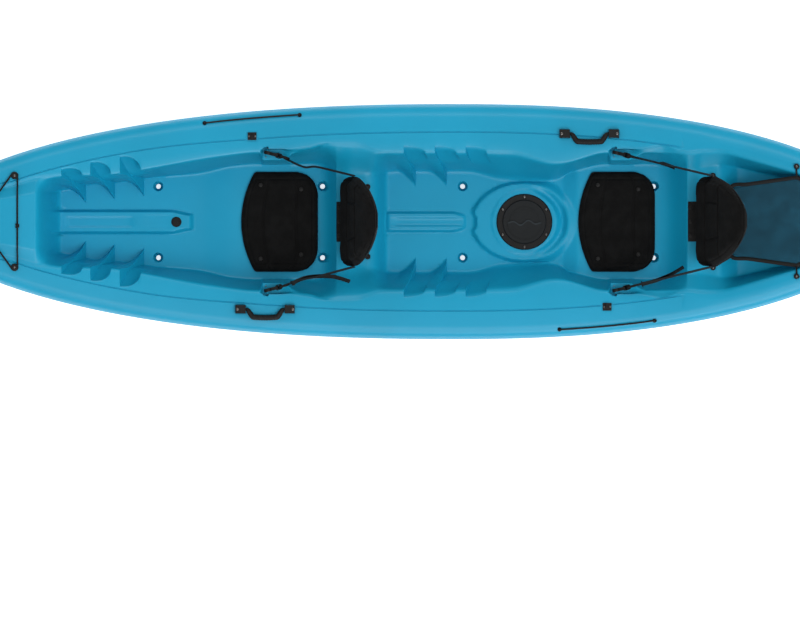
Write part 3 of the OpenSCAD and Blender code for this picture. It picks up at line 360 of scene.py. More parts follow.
class Shape:
    """A mesh that is put together from moved grids. Places are in millimetres until it is finished."""

    def __init__(self):
        self.bm = bmesh.new()
        self.bm.loops.layers.uv.new("UVMap")

    def grid(self, nu, nv, place, chart=None, weld=0.002):
        part = bmesh.new()
        chart_layer = part.loops.layers.uv.new("UVMap")
        bmesh.ops.create_grid(part, x_segments=nu, y_segments=nv, size=0.5)
        part.verts.ensure_lookup_table()
        flat = np.array([v.co[:2] for v in part.verts]) + 0.5
        i, j = np.rint(flat[:, 0] * nu).astype(int), np.rint(flat[:, 1] * nv).astype(int)
        points = place(i, j)
        for vert, point in zip(part.verts, points):
            vert.co = point
        if chart is not None:
            where = chart(i, j)
            for face in part.faces:
                for loop in face.loops:
                    loop[chart_layer].uv = where[loop.vert.index]
        bmesh.ops.remove_doubles(part, verts=part.verts, dist=weld)
        bmesh.ops.dissolve_degenerate(part, dist=1e-5, edges=part.edges)
        bmesh.ops.recalc_face_normals(part, faces=part.faces)
        mesh = bpy.data.meshes.new("part")
        part.to_mesh(mesh)
        part.free()
        self.bm.from_mesh(mesh)
        bpy.data.meshes.remove(mesh)
        return self

    def sweep(self, path, ring, up=(0, 0, 1), closed=False, scale=None):
        """A ring of [across, up] points carried along a path, with domed ends where the path is open."""
        path, ring = np.array(path, float), np.array(ring, float)
        n, m = len(path), len(ring)
        scale = np.ones(n) if scale is None else np.array(scale, float)
        if closed:
            t = np.roll(path, -1, 0) - np.roll(path, 1, 0)
        else:
            t = np.gradient(path, axis=0)
        t /= np.linalg.norm(t, axis=1)[:, None]
        side = np.cross(np.array(up, float), t)
        side /= np.linalg.norm(side, axis=1)[:, None]
        top = np.cross(t, side)
        run = np.concatenate([[0], np.cumsum(np.linalg.norm(np.diff(path, axis=0), axis=1))])
        if closed:
            row = np.append(np.arange(n), 0)
            size, push = np.ones(n + 1), np.zeros(n + 1)
            run = np.append(run, run[-1] + np.linalg.norm(path[0] - path[-1]))
        else:
            dome = [(0.0, 0.5), (0.5, 0.42), (0.82, 0.25)]
            row = np.concatenate([[0] * 3, np.arange(n), [n - 1] * 3])
            size = np.concatenate([[a for a, _ in dome], np.ones(n), [a for a, _ in dome[::-1]]])
            reach = np.abs(ring).max(0).min()
            push = reach * np.concatenate([[-b for _, b in dome], np.zeros(n), [b for _, b in dome[::-1]]])
            run = np.concatenate([[run[0]] * 3, run, [run[-1]] * 3])

        def place(i, j):
            r, c = row[i], ring[j % m] * (scale[row[i]] * size[i])[:, None]
            return path[r] + side[r] * c[:, :1] + top[r] * c[:, 1:] + t[r] * (push[i] * scale[r])[:, None]

        def chart(i, j):
            return np.stack([run[i] * MM, j / m], 1)

        return self.grid(len(row) - 1, m, place, chart)

    def finish(self, name, material, body=None, stands_for=(), slot=None, angle=40):
        mesh = bpy.data.meshes.new(name)
        bmesh.ops.scale(self.bm, vec=(MM, MM, MM), verts=self.bm.verts)
        self.bm.to_mesh(mesh)
        self.bm.free()
        piece = bpy.data.objects.new(name, mesh)
        bpy.context.scene.collection.objects.link(piece)
        mesh.materials.append(finishes()[material])
        smooth(piece, angle)
        if stands_for:
            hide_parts(*stands_for)
        if body:
            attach(piece, body)
        return piece


def smooth(piece, angle):
    mesh = piece.data
    mesh.polygons.foreach_set("use_smooth", np.ones(len(mesh.polygons), bool))
    mesh.set_sharp_from_angle(angle=math.radians(angle))


def circle(radius, sides):
    a = np.arange(sides) * 2 * np.pi / sides
    return np.stack([radius * np.cos(a), radius * np.sin(a)], 1)


def flat_band(width, thick):
    """Section of a webbing: flat sides and round edges."""
    r, h = thick / 2, width / 2 - thick / 2
    a = np.linspace(0, np.pi, 5)
    one = np.stack([r * np.cos(a), h + r * np.sin(a)], 1)
    return np.concatenate([one, [[-r, h / 3], [-r, -h / 3]], -one, [[r, -h / 3], [r, h / 3]]])


def bell(t):
    """A soft bump: 1 at 0 and close to 0 beyond 2."""
    return np.exp(-t ** 2)


def through(points, per, closed=False):
    """A smooth path through the given points."""
    p = np.array(points, float)
    n = len(p)
    last = n if closed else n - 1
    t = (np.arange(per) / per)[:, None]
    out = []
    for i in range(last):
        if closed:
            a, b, c, d = (p[k % n] for k in (i - 1, i, i + 1, i + 2))
        else:
            a, b, c, d = p[max(0, i - 1)], p[i], p[i + 1], p[min(n - 1, i + 2)]
        out.append(0.5 * (2 * b + (c - a) * t + (2 * a - 5 * b + 4 * c - d) * t * t
                          + (3 * b - a - 3 * c + d) * t ** 3))
    return np.concatenate(out if closed else out + [p[-1:]])


def applied(piece):
    """The piece's mesh with its modifiers made final."""
    graph = bpy.context.evaluated_depsgraph_get()
    mesh = bpy.data.meshes.new_from_object(piece.evaluated_get(graph))
    old, piece.data = piece.data, mesh
    piece.modifiers.clear()
    bpy.data.meshes.remove(old)
    return piece


def points_of(piece):
    co = np.zeros(len(piece.data.vertices) * 3)
    piece.data.vertices.foreach_get("co", co)
    return co.reshape(-1, 3)


def put_points(piece, co):
    piece.data.vertices.foreach_set("co", co.ravel())
    piece.data.update()


# Hull lines

HALF, BEAM, WIDE, STEM = 1750.0, 425.0, 176.0, 14.0
DECK, BOW_RISE, STERN_RISE, CROWN = 281.0, 45.0, 88.0, 20.0
FLOOR, FRONT_PAN, REAR_PAN, FRONT_HUMP, REAR_HUMP, TANK_FLOOR = 105.0, 112.0, 130.0, 190.0, 255.0, 196.0
COAMING, KEEL_FLAT, TANK_END = 252.0, 320.0, 1630.0
POCKETS, SHELF, POCKET_DEEP, POCKET_OUT, LIP = (-526.0, 728.0), 30.0, 24.0, 10.0, 5.0
HATCH_X, PLATFORM_Y, PLATFORM_UP, RIDGE_UP = 428.0, 150.0, 22.0, 18.0
# foot steps: where each starts, how far its face leans aft at the floor, length of its cut and of its fin
FRONT_STEPS, REAR_STEPS = (-1240.0, -1136.0, -1030.0), (-8.0, 104.0, 215.0)
FRONT_LEAN, REAR_LEAN, STEP_CUT, STEP_FIN = 84.0, 44.0, 74.0, 62.0
# heights of the floor, and half widths of the wells at the coaming and at the floor, along the hull
FLOOR_LINE = ((-1335, FLOOR), (-740, FLOOR), (-625, FRONT_PAN), (-290, FRONT_PAN), (-252, FRONT_HUMP),
              (-122, FRONT_HUMP), (-65, FLOOR), (560, FLOOR), (626, REAR_PAN), (950, REAR_PAN),
              (1012, REAR_HUMP), (1122, REAR_HUMP), (1205, TANK_FLOOR), (1420, TANK_FLOOR + 30),
              (1750, TANK_FLOOR + 40))
EDGE_LINE = ((-1500, 120), (-1335, 156), (-1246, 166), (-1060, 170), (-945, 188), (-742, 228),
             (-560, COAMING), (-390, COAMING), (-310, COAMING + 28), (-165, COAMING + 28), (-110, COAMING),
             (390, COAMING), (510, COAMING - 40), (580, COAMING - 40), (700, COAMING), (1000, COAMING),
             (1130, COAMING + 3), (1393, 180), (1640, 108))
FOOT_LINE = ((-1500, 70), (-1335, 96), (-1246, 110), (-1130, 136), (-945, 158), (-742, 172), (-610, 206),
             (-317, 206), (-225, 158), (-122, 158), (-65, 177), (250, 177), (338, 146), (548, 146),
             (626, 206), (905, 206), (1010, 178), (1122, 192), (1150, 200), (1380, 166), (1640, 96))
# where the seat pans curve up to the humps behind them: start, end, low and high level
SEAT_BOWLS = ((-314, -252, FRONT_PAN, FRONT_HUMP), (905, 1012, REAR_PAN, REAR_HUMP))
BOWL_CURVE = 2.3
# depth of the hollow behind a pocket
SCOOP_DEEP = 9.0
# rows of the skin up the wall, beside the middle of the floor, and over it, squeezed on a narrow floor
WALL_ROWS, FLOOR_ROWS, MIDDLE, FULL_FLOOR = 17, 16, 60.0, 100.0
MIDDLE_ROWS = (MIDDLE, 57, 54, 51, 48, 45, 42, 39.5, 37, 34, 31, 27, 23, 20, 17, 14, 11, 5, 0)
# stations round the start and the end of a foot step, spans with closer stations, and the least step
STEP_STATIONS = (-8, -4, -1.6, -0.5, 0.5, 1.6, 4, 8, 66, 70, 73, 76)
FINE_STATIONS = ((-1340, -1240, 26), (-530, -508, 10), (-460, -264, 22), (-314, -248, 24), (-126, -60, 12),
                 (222, 642, 70), (724, 746, 10), (796, 990, 22), (900, 1018, 30), (1120, 1210, 10),
                 (-786, -764, 4), (-1232, -1216, 3), (-998, -982, 3), (1556, 1634, 10),
                 (-HALF, -HALF + 30, 9), (HALF - 30, HALF, 9))
CLOSEST = 0.45
SCUPPERS = ((-896, FLOOR), (-302, FRONT_PAN + 2), (205, FLOOR), (896, REAR_PAN))
SCUPPER_Y = 129.0


def ease(t):
    c = np.clip(t, 0, 1)
    return c * c * (3 - 2 * c)


def rise(a, b, x):
    return ease((x - a) / (b - a))


def between(a, b, x, soft=4.0):
    return rise(a - soft, a + soft, x) * (1 - rise(b - soft, b + soft, x))


def soft_line(t, d=0.24):
    """A straight rise from 0 to 1 with both ends eased over the share d."""
    t = np.clip(t, 0, 1)
    low, high = t * t / (2 * d * (1 - d)), 1 - (1 - t) ** 2 / (2 * d * (1 - d))
    return np.where(t < d, low, np.where(t < 1 - d, (t - d / 2) / (1 - d), high))


def look(table, x):
    xs, ys = np.array(table, float).T
    i = np.clip(np.searchsorted(xs[1:-1], x), 0, len(xs) - 2)
    return ys[i] + (ys[i + 1] - ys[i]) * soft_line((x - xs[i]) / (xs[i + 1] - xs[i]))


def flow(table, x, soft=22.0):
    """A line through the table's points with every corner eased over a short length."""
    xs, ys = np.array(table, float).T
    total = 0
    for shift, weight in ((-1.6, 0.11), (-0.8, 0.22), (0, 0.34), (0.8, 0.22), (1.6, 0.11)):
        total = total + weight * np.interp(x + shift * soft, xs, ys)
    return total


def share(x):
    return np.where(x < WIDE, (WIDE - x) / (WIDE + HALF), (x - WIDE) / (HALF - WIDE))


def beam(x):
    return STEM + (BEAM - STEM) * np.maximum(0, 1 - share(x) ** 2.3) ** 0.58


def sheer(x):
    stern = np.maximum(0, (share(x) - 0.4) / 0.6)
    return DECK + np.where(x < WIDE, BOW_RISE * share(x) ** 2, STERN_RISE * stern ** 1.3)


def keel(x):
    bow, stern = np.maximum(0, -HALF + 270 - x) / 270, np.maximum(0, x - HALF + 550) / 550
    return 150 * bow ** 2 + 170 * stern ** 2.2


def tight(x):
    return np.minimum(1, beam(x) / 240)


def groove(x):
    return beam(x) - (94 + 9 * rise(-950, -500, x) - 35 * rise(1000, 1130, x)) * tight(x)


def pocket(x):
    return POCKET_DEEP * sum(rise(a, a + 11, x) * (1 - rise(a + 74, a + 136, x)) for a in POCKETS)


def scoop(x, start=50, full=170):
    """Soft hollow in the deck edge behind each pocket, from 0 to 1."""
    return sum(rise(a + start, a + full, x) * (1 - rise(a + 196, a + 256, x)) for a in POCKETS)


def well(x):
    return rise(-1335, -1246, x) * (1 - rise(TANK_END - 70, TANK_END, x))


def floor_z(x):
    deck = sheer(x) + CROWN * tight(x) ** 2
    level = look(FLOOR_LINE, x)
    for start, end, low, high in SEAT_BOWLS:
        t = (x - start) / (end - start)
        level = np.where((t > 0) & (t < 1), low + (high - low) * np.clip(t, 0, 1) ** BOWL_CURVE, level)
    return deck + (level - deck) * well(x)


def edge_y(x):
    edge = flow(EDGE_LINE, x) - SHELF / POCKET_DEEP * pocket(x)
    return np.minimum(edge, groove(x) - 16 * tight(x))


def foot_y(x):
    return np.minimum(flow(FOOT_LINE, x), 0.82 * (edge_y(x) + SHELF / POCKET_DEEP * pocket(x)))


def foot_steps(x, t):
    """How far the cockpit wall is cut outward, or stands inward, at height t of the wall."""
    total = np.zeros_like(x)
    rows = [(a, FRONT_LEAN, groove(x) - edge_y(x) - 9, 63) for a in FRONT_STEPS]
    rows += [(a, REAR_LEAN, 20.0, 50 if i < 2 else 0) for i, a in enumerate(REAR_STEPS)]
    for start, slant, out, inward in rows:
        s = x - start - slant * ease(1 - t)
        cut = out * rise(0.46, 0.94, t) * np.sqrt(np.clip(1 - (s / STEP_CUT) ** 2, 0, 1))
        fin = -inward * (1 - rise(0.0, 0.66, t)) * np.clip((s + STEP_FIN) / STEP_FIN, 0, 1) ** 1.5
        total += np.where((s >= 0) & (s < STEP_CUT + 2), cut, np.where((s < 0) & (s > -STEP_FIN), fin, 0))
    return total


def slant_at(x):
    """How far the stations lean aft at the floor, so that they follow the faces of the foot steps."""
    front = rise(-1330, -1246, x) * (1 - rise(-950, -780, x))
    rear = rise(-230, -72, x) * (1 - rise(295, 440, x))
    return FRONT_LEAN * front + REAR_LEAN * rear


def floor_form(x, y):
    """Ridges and the hatch platform, over the floor."""
    a = np.abs(y)
    front = rise(-1300, -1262, x) * (1 - rise(-784, -766, x))
    front = front * (1 - rise(34, 45, a + 12 * rise(-850, -786, x)))
    recess = 3 * between(-1224, -990, x) * (1 - rise(14, 21, a))
    panel = 1.2 * between(-944, -852, x) * (1 - rise(22, 28, a))
    rear = rise(-78, -62, x) * (1 - rise(196, 222, x)) * (1 - rise(27, 40, a + 10 * rise(170, 215, x)))
    channel = 7 * between(-48, 206, x, 8) * (1 - rise(8, 20, a))
    up = front * (RIDGE_UP - recess - panel) + rear * np.maximum(0, 0.8 * RIDGE_UP - channel)
    notch = 15 * np.exp(-(y / 26) ** 4) * (x < HATCH_X)
    reach = np.where(x < HATCH_X, 206, 176)
    d = np.hypot((x - notch - HATCH_X) / reach, y / (PLATFORM_Y + 4))
    aft = rise(HATCH_X + 10, HATCH_X + 110, x)
    flat = 1 - rise(0.89, 0.97 + 0.14 * aft, d)
    ring = rise(115, 121, np.hypot(x - HATCH_X, y))
    trough = 14 * aft * rise(0.66, 0.78, d) * (1 - rise(0.79, 0.9, d))
    return up + flat * (PLATFORM_UP - 3 * ring - trough)


def corners(points, radii, per=4):
    """Rows of an outline whose inner corners are rounded, for all stations at once."""
    rows = [points[0]]
    for k, r in enumerate(radii, 1):
        p, a, b = (np.stack(points[i]) for i in (k, k - 1, k + 1))
        la, lb = np.hypot(*(a - p)), np.hypot(*(b - p))
        d = np.minimum(r, 0.45 * np.minimum(la, lb))
        s, e = p + (a - p) / la * d, p + (b - p) / lb * d
        for t in np.linspace(0, 1, per):
            rows.append(tuple((1 - t) ** 2 * s + 2 * t * (1 - t) * p + t * t * e))
    return rows


def half_ring(xu, hull):
    """One half of every section, from the keel to the middle of the deck, as rows of x, y, z."""
    b, k, zd, zk, g, e = beam(xu), tight(xu), sheer(xu), keel(xu), groove(xu), edge_y(xu)
    q = np.minimum(1, (zd - zk) / DECK)
    ledge = hull.ledge / MM
    outline = [(0 * xu, zk), (np.minimum(KEEL_FLAT / 2, 0.5 * b), zk), (b - 70 * k, zk + 15 * q),
               (b - 15 * k, zk + 68 * q), (b - ledge * k, zd - 62 * q), (b, zd - 56 * q),
               (b - 13 * k, zd - 18 * q), (b - 38 * k, zd - 4 * q), (g + 5 * k, zd)]
    rows = [(xu, y, z) for y, z in corners(outline, (60, 45, 60, 3, 4, 14, 20))]
    dip = hull.groove_deep / MM * q * (1 - rise(960, 1010, xu))
    w = hull.groove_half / MM * k
    for a, c in ((1, 0), (0.62, 0.8), (0, 1), (-0.62, 0.8), (-1, 0)):
        rows.append((xu, g + a * w, zd - c * dip))
    h = pocket(xu)
    lip = np.maximum(e + np.maximum(LIP * k, foot_steps(xu, 1.0) + 1),
                     np.where(h > 0, COAMING + LIP + (POCKET_OUT - LIP) * h / POCKET_DEEP, 0))
    lip = np.maximum(lip, np.where(scoop(xu) > 0, COAMING + LIP + 17 * scoop(xu, 70, 200), 0))
    dish = scoop(xu)
    h = h + SCOOP_DEEP * dish
    falling = [(xu, np.maximum(lip + 4 * k, (g - w + lip) / 2), zd), (xu, lip + 2.5 * k, zd - 0.3 * q),
               (xu, lip, zd - q), (xu, lip - k - 5 * dish, zd - 1.2 * q - 0.25 * h),
               (xu, lip - 2 * k - 12 * dish, zd - 1.5 * q - h)]
    lean = slant_at(xu)
    for t in np.linspace(1, 0, WALL_ROWS):
        x = xu + lean * ease(1 - t)
        gentle = rise(-420, -330, x) * (1 - rise(-160, -110, x))
        zf, f, up = floor_z(x), foot_y(x), soft_line(t, 0.2) * (1 - gentle) + ease(t) * gentle
        top = sheer(x) - 3 * np.minimum(1, (sheer(x) - keel(x)) / DECK) - pocket(x) - SCOOP_DEEP * scoop(x)
        falling.append((x, f + (edge_y(x) - f) * t + foot_steps(x, t), zf + (top - zf) * up))
    x, foot = falling[-1][:2]
    c = np.minimum(1, foot_y(x) / FULL_FLOOR)
    for s in np.linspace(1, 0, FLOOR_ROWS)[1:-1]:
        y = MIDDLE * c + (foot - MIDDLE * c) * s
        falling.append((x, y, floor_z(x) + floor_form(x, y)))
    for level in MIDDLE_ROWS:
        x = xu + lean * rise(41, MIDDLE, level)
        y = level * np.minimum(1, foot_y(x) / FULL_FLOOR)
        falling.append((x, y, floor_z(x) + floor_form(x, y)))
    last = g - 1.2 * w
    for n, (x, y, z) in enumerate(falling):
        y = np.minimum(y, last) if n < len(falling) - 1 else 0 * y
        last = y - 0.2 * k
        rows.append((x, y, z))
    return rows


def stations(spacing):
    """Places along the hull, closer together where the deck has detail."""
    x = list(np.arange(-HALF, HALF + 1, spacing))
    for a in FRONT_STEPS + REAR_STEPS:
        x += [a + d for d in STEP_STATIONS]
    for a, b, n in FINE_STATIONS:
        x += list(np.linspace(a, b, n))
    x = np.unique(np.round(x, 2))
    return x[np.insert(np.diff(x) > CLOSEST, 0, True)]


def both_sides(*places):
    """Each place on port and then on starboard."""
    return [(x, s * y, *rest) for x, y, *rest in places for s in (-1, 1)]


# feet of the deck fittings, in millimetres, as the frame has them
EYES = both_sides((-501.0, 248.0, 259.14, 14.5), (753.0, 248.0, 253.81, 13.3))
STAY_EYES = both_sides((-138.0, 126.0, 189.6), (1102.0, 118.0, 254.6))
BOW_PINS = [(-1408.0, -165.0, 308.6), (-1408.0, 165.0, 308.6), (-1525.0, 0.0, 328.98)]
KEEPER_HOOKS = [(-554.0, 307.0, 284.88), (724.0, -307.0, 279.44)]
KEEPER_ENDS = [(-725.0, 354.8, 276.63), (-383.0, 383.97, 270.74), (553.0, -389.02, 266.86),
               (895.0, -357.2, 271.07)]
ANCHORS = both_sides((1106.0, 166.0, 254.6), (1404.06, 197.58, 327.0), (1566.0, 141.52, 344.37))
# radii of the round seats, and sizes of the square ones, that are cut into the deck under the fittings
ROUND_SEATS = ((STAY_EYES, 11), (BOW_PINS, 14), (KEEPER_ENDS, 8), (ANCHORS, 11.5))
EYE_SEAT, HOOK_SEAT, BRACKET_SEAT = (21, 41, 30), (44, 38, 30), (41, 35, 40)
HATCH_BORE, DRAIN_X, DRAIN_BORE, EYELET_BORE = 80.0, -830.0, 11.9, 5.65
# handles: middle between the feet, height of the pivots over them, turn, distance between the brackets
HANDLES = {"port_handle": ((-507.0, -316.0, 283.25), 13.93, 0, 177.0),
           "starboard_handle": ((660.0, 316.0, 277.12), 14.3, 0, 177.0),
           "bow_handle": ((-1655.0, 0.0, 318.89), 20.5, -90, 132.0),
           "stern_handle": ((1672.0, 0.0, 357.66), 20.5, 90, 132.0)}
HANDLE_REACH, PIN_LONG, BAR_STEPS = 30.0, 20.0, 150


class Cutters:
    """Closed shapes that are taken out of the hull together."""

    def __init__(self):
        self.group = bpy.data.collections.new("cutters")
        bpy.context.scene.collection.children.link(self.group)

    def keep(self, bm, matrix):
        bmesh.ops.transform(bm, matrix=Matrix.Scale(MM, 4) @ matrix, verts=bm.verts)
        bmesh.ops.recalc_face_normals(bm, faces=bm.faces)
        mesh = bpy.data.meshes.new("cutter")
        bm.to_mesh(mesh)
        bm.free()
        self.group.objects.link(bpy.data.objects.new("cutter", mesh))

    def cone(self, at, low, high, r1, r2, sides=40):
        bm = bmesh.new()
        bmesh.ops.create_cone(bm, cap_ends=True, segments=sides, radius1=r1, radius2=r2, depth=high - low)
        self.keep(bm, Matrix.Translation((at[0], at[1], (low + high) / 2)))

    def block(self, at, size, turn=0.0, corner=4.0):
        bm = bmesh.new()
        bmesh.ops.create_cube(bm, size=1)
        bmesh.ops.scale(bm, vec=size, verts=bm.verts)
        upright = [e for e in bm.edges if abs(e.verts[0].co.z - e.verts[1].co.z) > 1]
        bmesh.ops.bevel(bm, geom=upright, offset=corner, affect="EDGES", segments=4, profile=0.5, material=-1)
        middle = Matrix.Translation((at[0], at[1], at[2] + size[2] / 2))
        self.keep(bm, middle @ Matrix.Rotation(math.radians(turn), 4, "Z"))

    def take_from(self, piece):
        cut = piece.modifiers.new("cuts", "BOOLEAN")
        cut.operation, cut.solver = "DIFFERENCE", "MANIFOLD"
        cut.operand_type, cut.collection = "COLLECTION", self.group
        applied(piece)
        for cutter in list(self.group.objects):
            bpy.data.objects.remove(cutter)
        bpy.data.collections.remove(self.group)


class KAYAK_OT_hull(bpy.types.Operator):
    """Moulded hull: one skin through the stations, with the bores and the seats of the fittings taken out"""
    bl_idname = "kayak.hull"
    bl_label = "Hull"

    def execute(self, context):
        sizes = context.scene.kayak_hull
        xu = stations(sizes.spacing / MM)
        half = np.array(half_ring(xu, sizes))
        ring = np.concatenate([half, half[-2::-1] * np.array([1, -1, 1])[None, :, None]])
        caps = []
        for end in (ring[:, :, :1], ring[:, :, -1:]):
            tip = end.mean(0, keepdims=True) * np.array([1, 0, 1])[None, :, None]
            caps.append([tip + (end - tip) * a for a in (0, 0.5, 0.85)])
        ring = np.concatenate([*caps[0], ring, *caps[1][::-1]], axis=2)
        m, _, n = ring.shape
        shape = Shape().grid(n - 1, m - 1, lambda i, j: ring[j, :, i])
        hull = shape.finish("hull_moulding", "hull_plastic", stands_for=("hull_shell",))
        cuts = Cutters()
        bore, funnel = sizes.scupper / MM, sizes.funnel / MM
        for x, z in SCUPPERS:
            for s in (-1, 1):
                cuts.cone((x, s * SCUPPER_Y), -10, 300, bore, bore)
                cuts.cone((x, s * SCUPPER_Y), z - 26, z + 26, bore + 0.5, 2 * funnel - bore)
        cuts.cone((HATCH_X, 0), 30, 200, HATCH_BORE, HATCH_BORE, 96)
        cuts.cone((DRAIN_X, 0), 60, 200, DRAIN_BORE, DRAIN_BORE)
        for x, y, z, turn in EYES:
            cuts.block((x, y, z), EYE_SEAT, -turn if y < 0 else turn)
        for foot, r in ROUND_SEATS:
            for x, y, z in foot:
                cuts.cone((x, y), z, z + 40, r, r + 6)
        for x, y, z in KEEPER_ENDS:
            cuts.cone((x, y), z - 4.3, z + 10, EYELET_BORE, EYELET_BORE, 24)
        for place in KEEPER_HOOKS:
            cuts.block(place, HOOK_SEAT)
        for (x, y, z), _, turn, span in HANDLES.values():
            a = math.radians(turn)
            for e in (-1, 1):
                place = (x + e * span / 2 * math.cos(a), y + e * span / 2 * math.sin(a), z)
                cuts.block(place, BRACKET_SEAT, turn, 6.0)
        cuts.take_from(hull)
        smooth(hull, 42)
        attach(hull, "hull")
        return {"FINISHED"}


# Seats

SEATS = {"front": (-457.0, FRONT_PAN), "rear": (761.0, REAR_PAN)}
HINGES = {"front": ((-205.0, 0.0, FRONT_HUMP + 9), 13.0), "rear": ((1062.0, 0.0, REAR_HUMP + 9), 20.0)}
PAD_LENGTH, PAD_WIDTH, PAD_THICK, PAD_ARC, PAD_CORNER = 276.0, 360.0, 30.0, 48.0, 69.0
SNAPS = ((70 - PAD_LENGTH / 2, PAD_WIDTH / 2 - 47), (PAD_LENGTH / 2 - 60, PAD_WIDTH / 2 - 62))
PAD_DISH, PAD_ROOM, PAD_LOW, PAD_EDGE, SNAP_TOP = 3.0, 5.5, 2.5, 7.0, 28.7
BACK_WIDTH, BACK_HEIGHT, BACK_THICK, BACK_FOOT = 336.0, 380.0, 40.0, 6.3
BACK_BOARD, BOARD_IN, BACK_REAR, BACK_EDGE, BACK_ROOM = (0.5, 2.5, 4.5), 12.0, -2.0, -6.0, 8.0
# sewn channels of a backrest: shares of its height and half width, and those lengths
BACK_SEAMS, SIDE_SEAM, RIM_SEAM, SEAM_TALL, SEAM_WIDE = (0.36, 0.64), 0.42, 0.9, 374, 160
# hinge flap: places along it up to the hem, its size, and the radius of its roll and of the hem
FLAP_LINE = ((-46, -7.4), (-38, -7.4), (-28, -7.4), (-18, -7.4), (-11, -7.3), (-6.5, -6.8))
FLAP_WIDE, FLAP_THICK, FLAP_ROLL, HEM_HALF, HEM = 144, 3.0, 4.4, 92, 4.2
OVER_SIZE, FILL_PRESSURE, FILL_FRAMES = 1.006, 4, 20


def shell_rows(around, along):
    """Values round a closed shell, which of them are on its hidden side, and values along it."""
    across = np.concatenate([around, around[-2:0:-1]])
    hidden = np.arange(len(across)) >= len(around)
    return across, hidden, np.concatenate([along[:1], along, along[-1:]])


def inflate(piece, voxel, cap, axis):
    """Fills a closed fabric shell by a short cloth simulation. Its points move only along the axis."""
    remesh = piece.modifiers.new("remesh", "REMESH")
    remesh.mode, remesh.voxel_size = "VOXEL", voxel
    applied(piece)
    rest = points_of(piece)
    cloth = piece.modifiers.new("fill", "CLOTH")
    cloth.settings.use_pressure = True
    cloth.settings.uniform_pressure_force = FILL_PRESSURE
    cloth.settings.effector_weights.gravity = 0
    cloth.settings.quality = 5
    scene = bpy.context.scene
    for number in range(FILL_FRAMES):
        scene.frame_set(number + 1)
    graph = bpy.context.evaluated_depsgraph_get()
    moved = points_of(piece.evaluated_get(graph))
    piece.modifiers.clear()
    scene.frame_set(1)
    shift = np.clip((moved - rest) @ axis, -cap, cap)
    put_points(piece, rest + shift[:, None] * axis)
    fine = piece.modifiers.new("fine", "SUBSURF")
    fine.levels = fine.render_levels = 1
    return applied(piece)


def plump(w, power=8):
    return 1 - 0.5 * np.abs(w) ** power


def pad_end(v):
    """Rear edge of a pad: straight in the middle, with wide round corners."""
    turn = np.clip(np.abs(v) - 0.5, 0, 0.5) / 0.5
    return PAD_LENGTH / 2 - PAD_CORNER * (1 - np.maximum(0, 1 - turn ** 2.3) ** 0.55)


def pad_xy(u, v):
    a = PAD_ARC * v * v - PAD_LENGTH / 2
    return a + (pad_end(v) - a) * (1 + u) / 2, PAD_WIDTH / 2 * v


def pad_uv(x, y):
    v = np.clip(y / (PAD_WIDTH / 2), -1, 1)
    a = PAD_ARC * v * v - PAD_LENGTH / 2
    return 2 * (x - a) / (pad_end(v) - a) - 1, v


def pad_rim(inset, count=44):
    s = np.linspace(-1, 1, count, endpoint=False)
    one = np.ones(count)
    u = np.concatenate([-one, s, one, -s])
    v = np.concatenate([s, one, -s, -one])
    x, y = pad_xy(u, v)
    rim = np.stack([x, y], 1)
    for _ in range(3):
        rim = (np.roll(rim, 1, 0) + 2 * rim + np.roll(rim, -1, 0)) / 4
    way = np.roll(rim, -1, 0) - np.roll(rim, 1, 0)
    out = np.stack([-way[:, 1], way[:, 0]], 1) / np.linalg.norm(way, axis=1)[:, None]
    return rim + out * inset * np.sign(np.mean(np.sum(out * -rim, 1)))


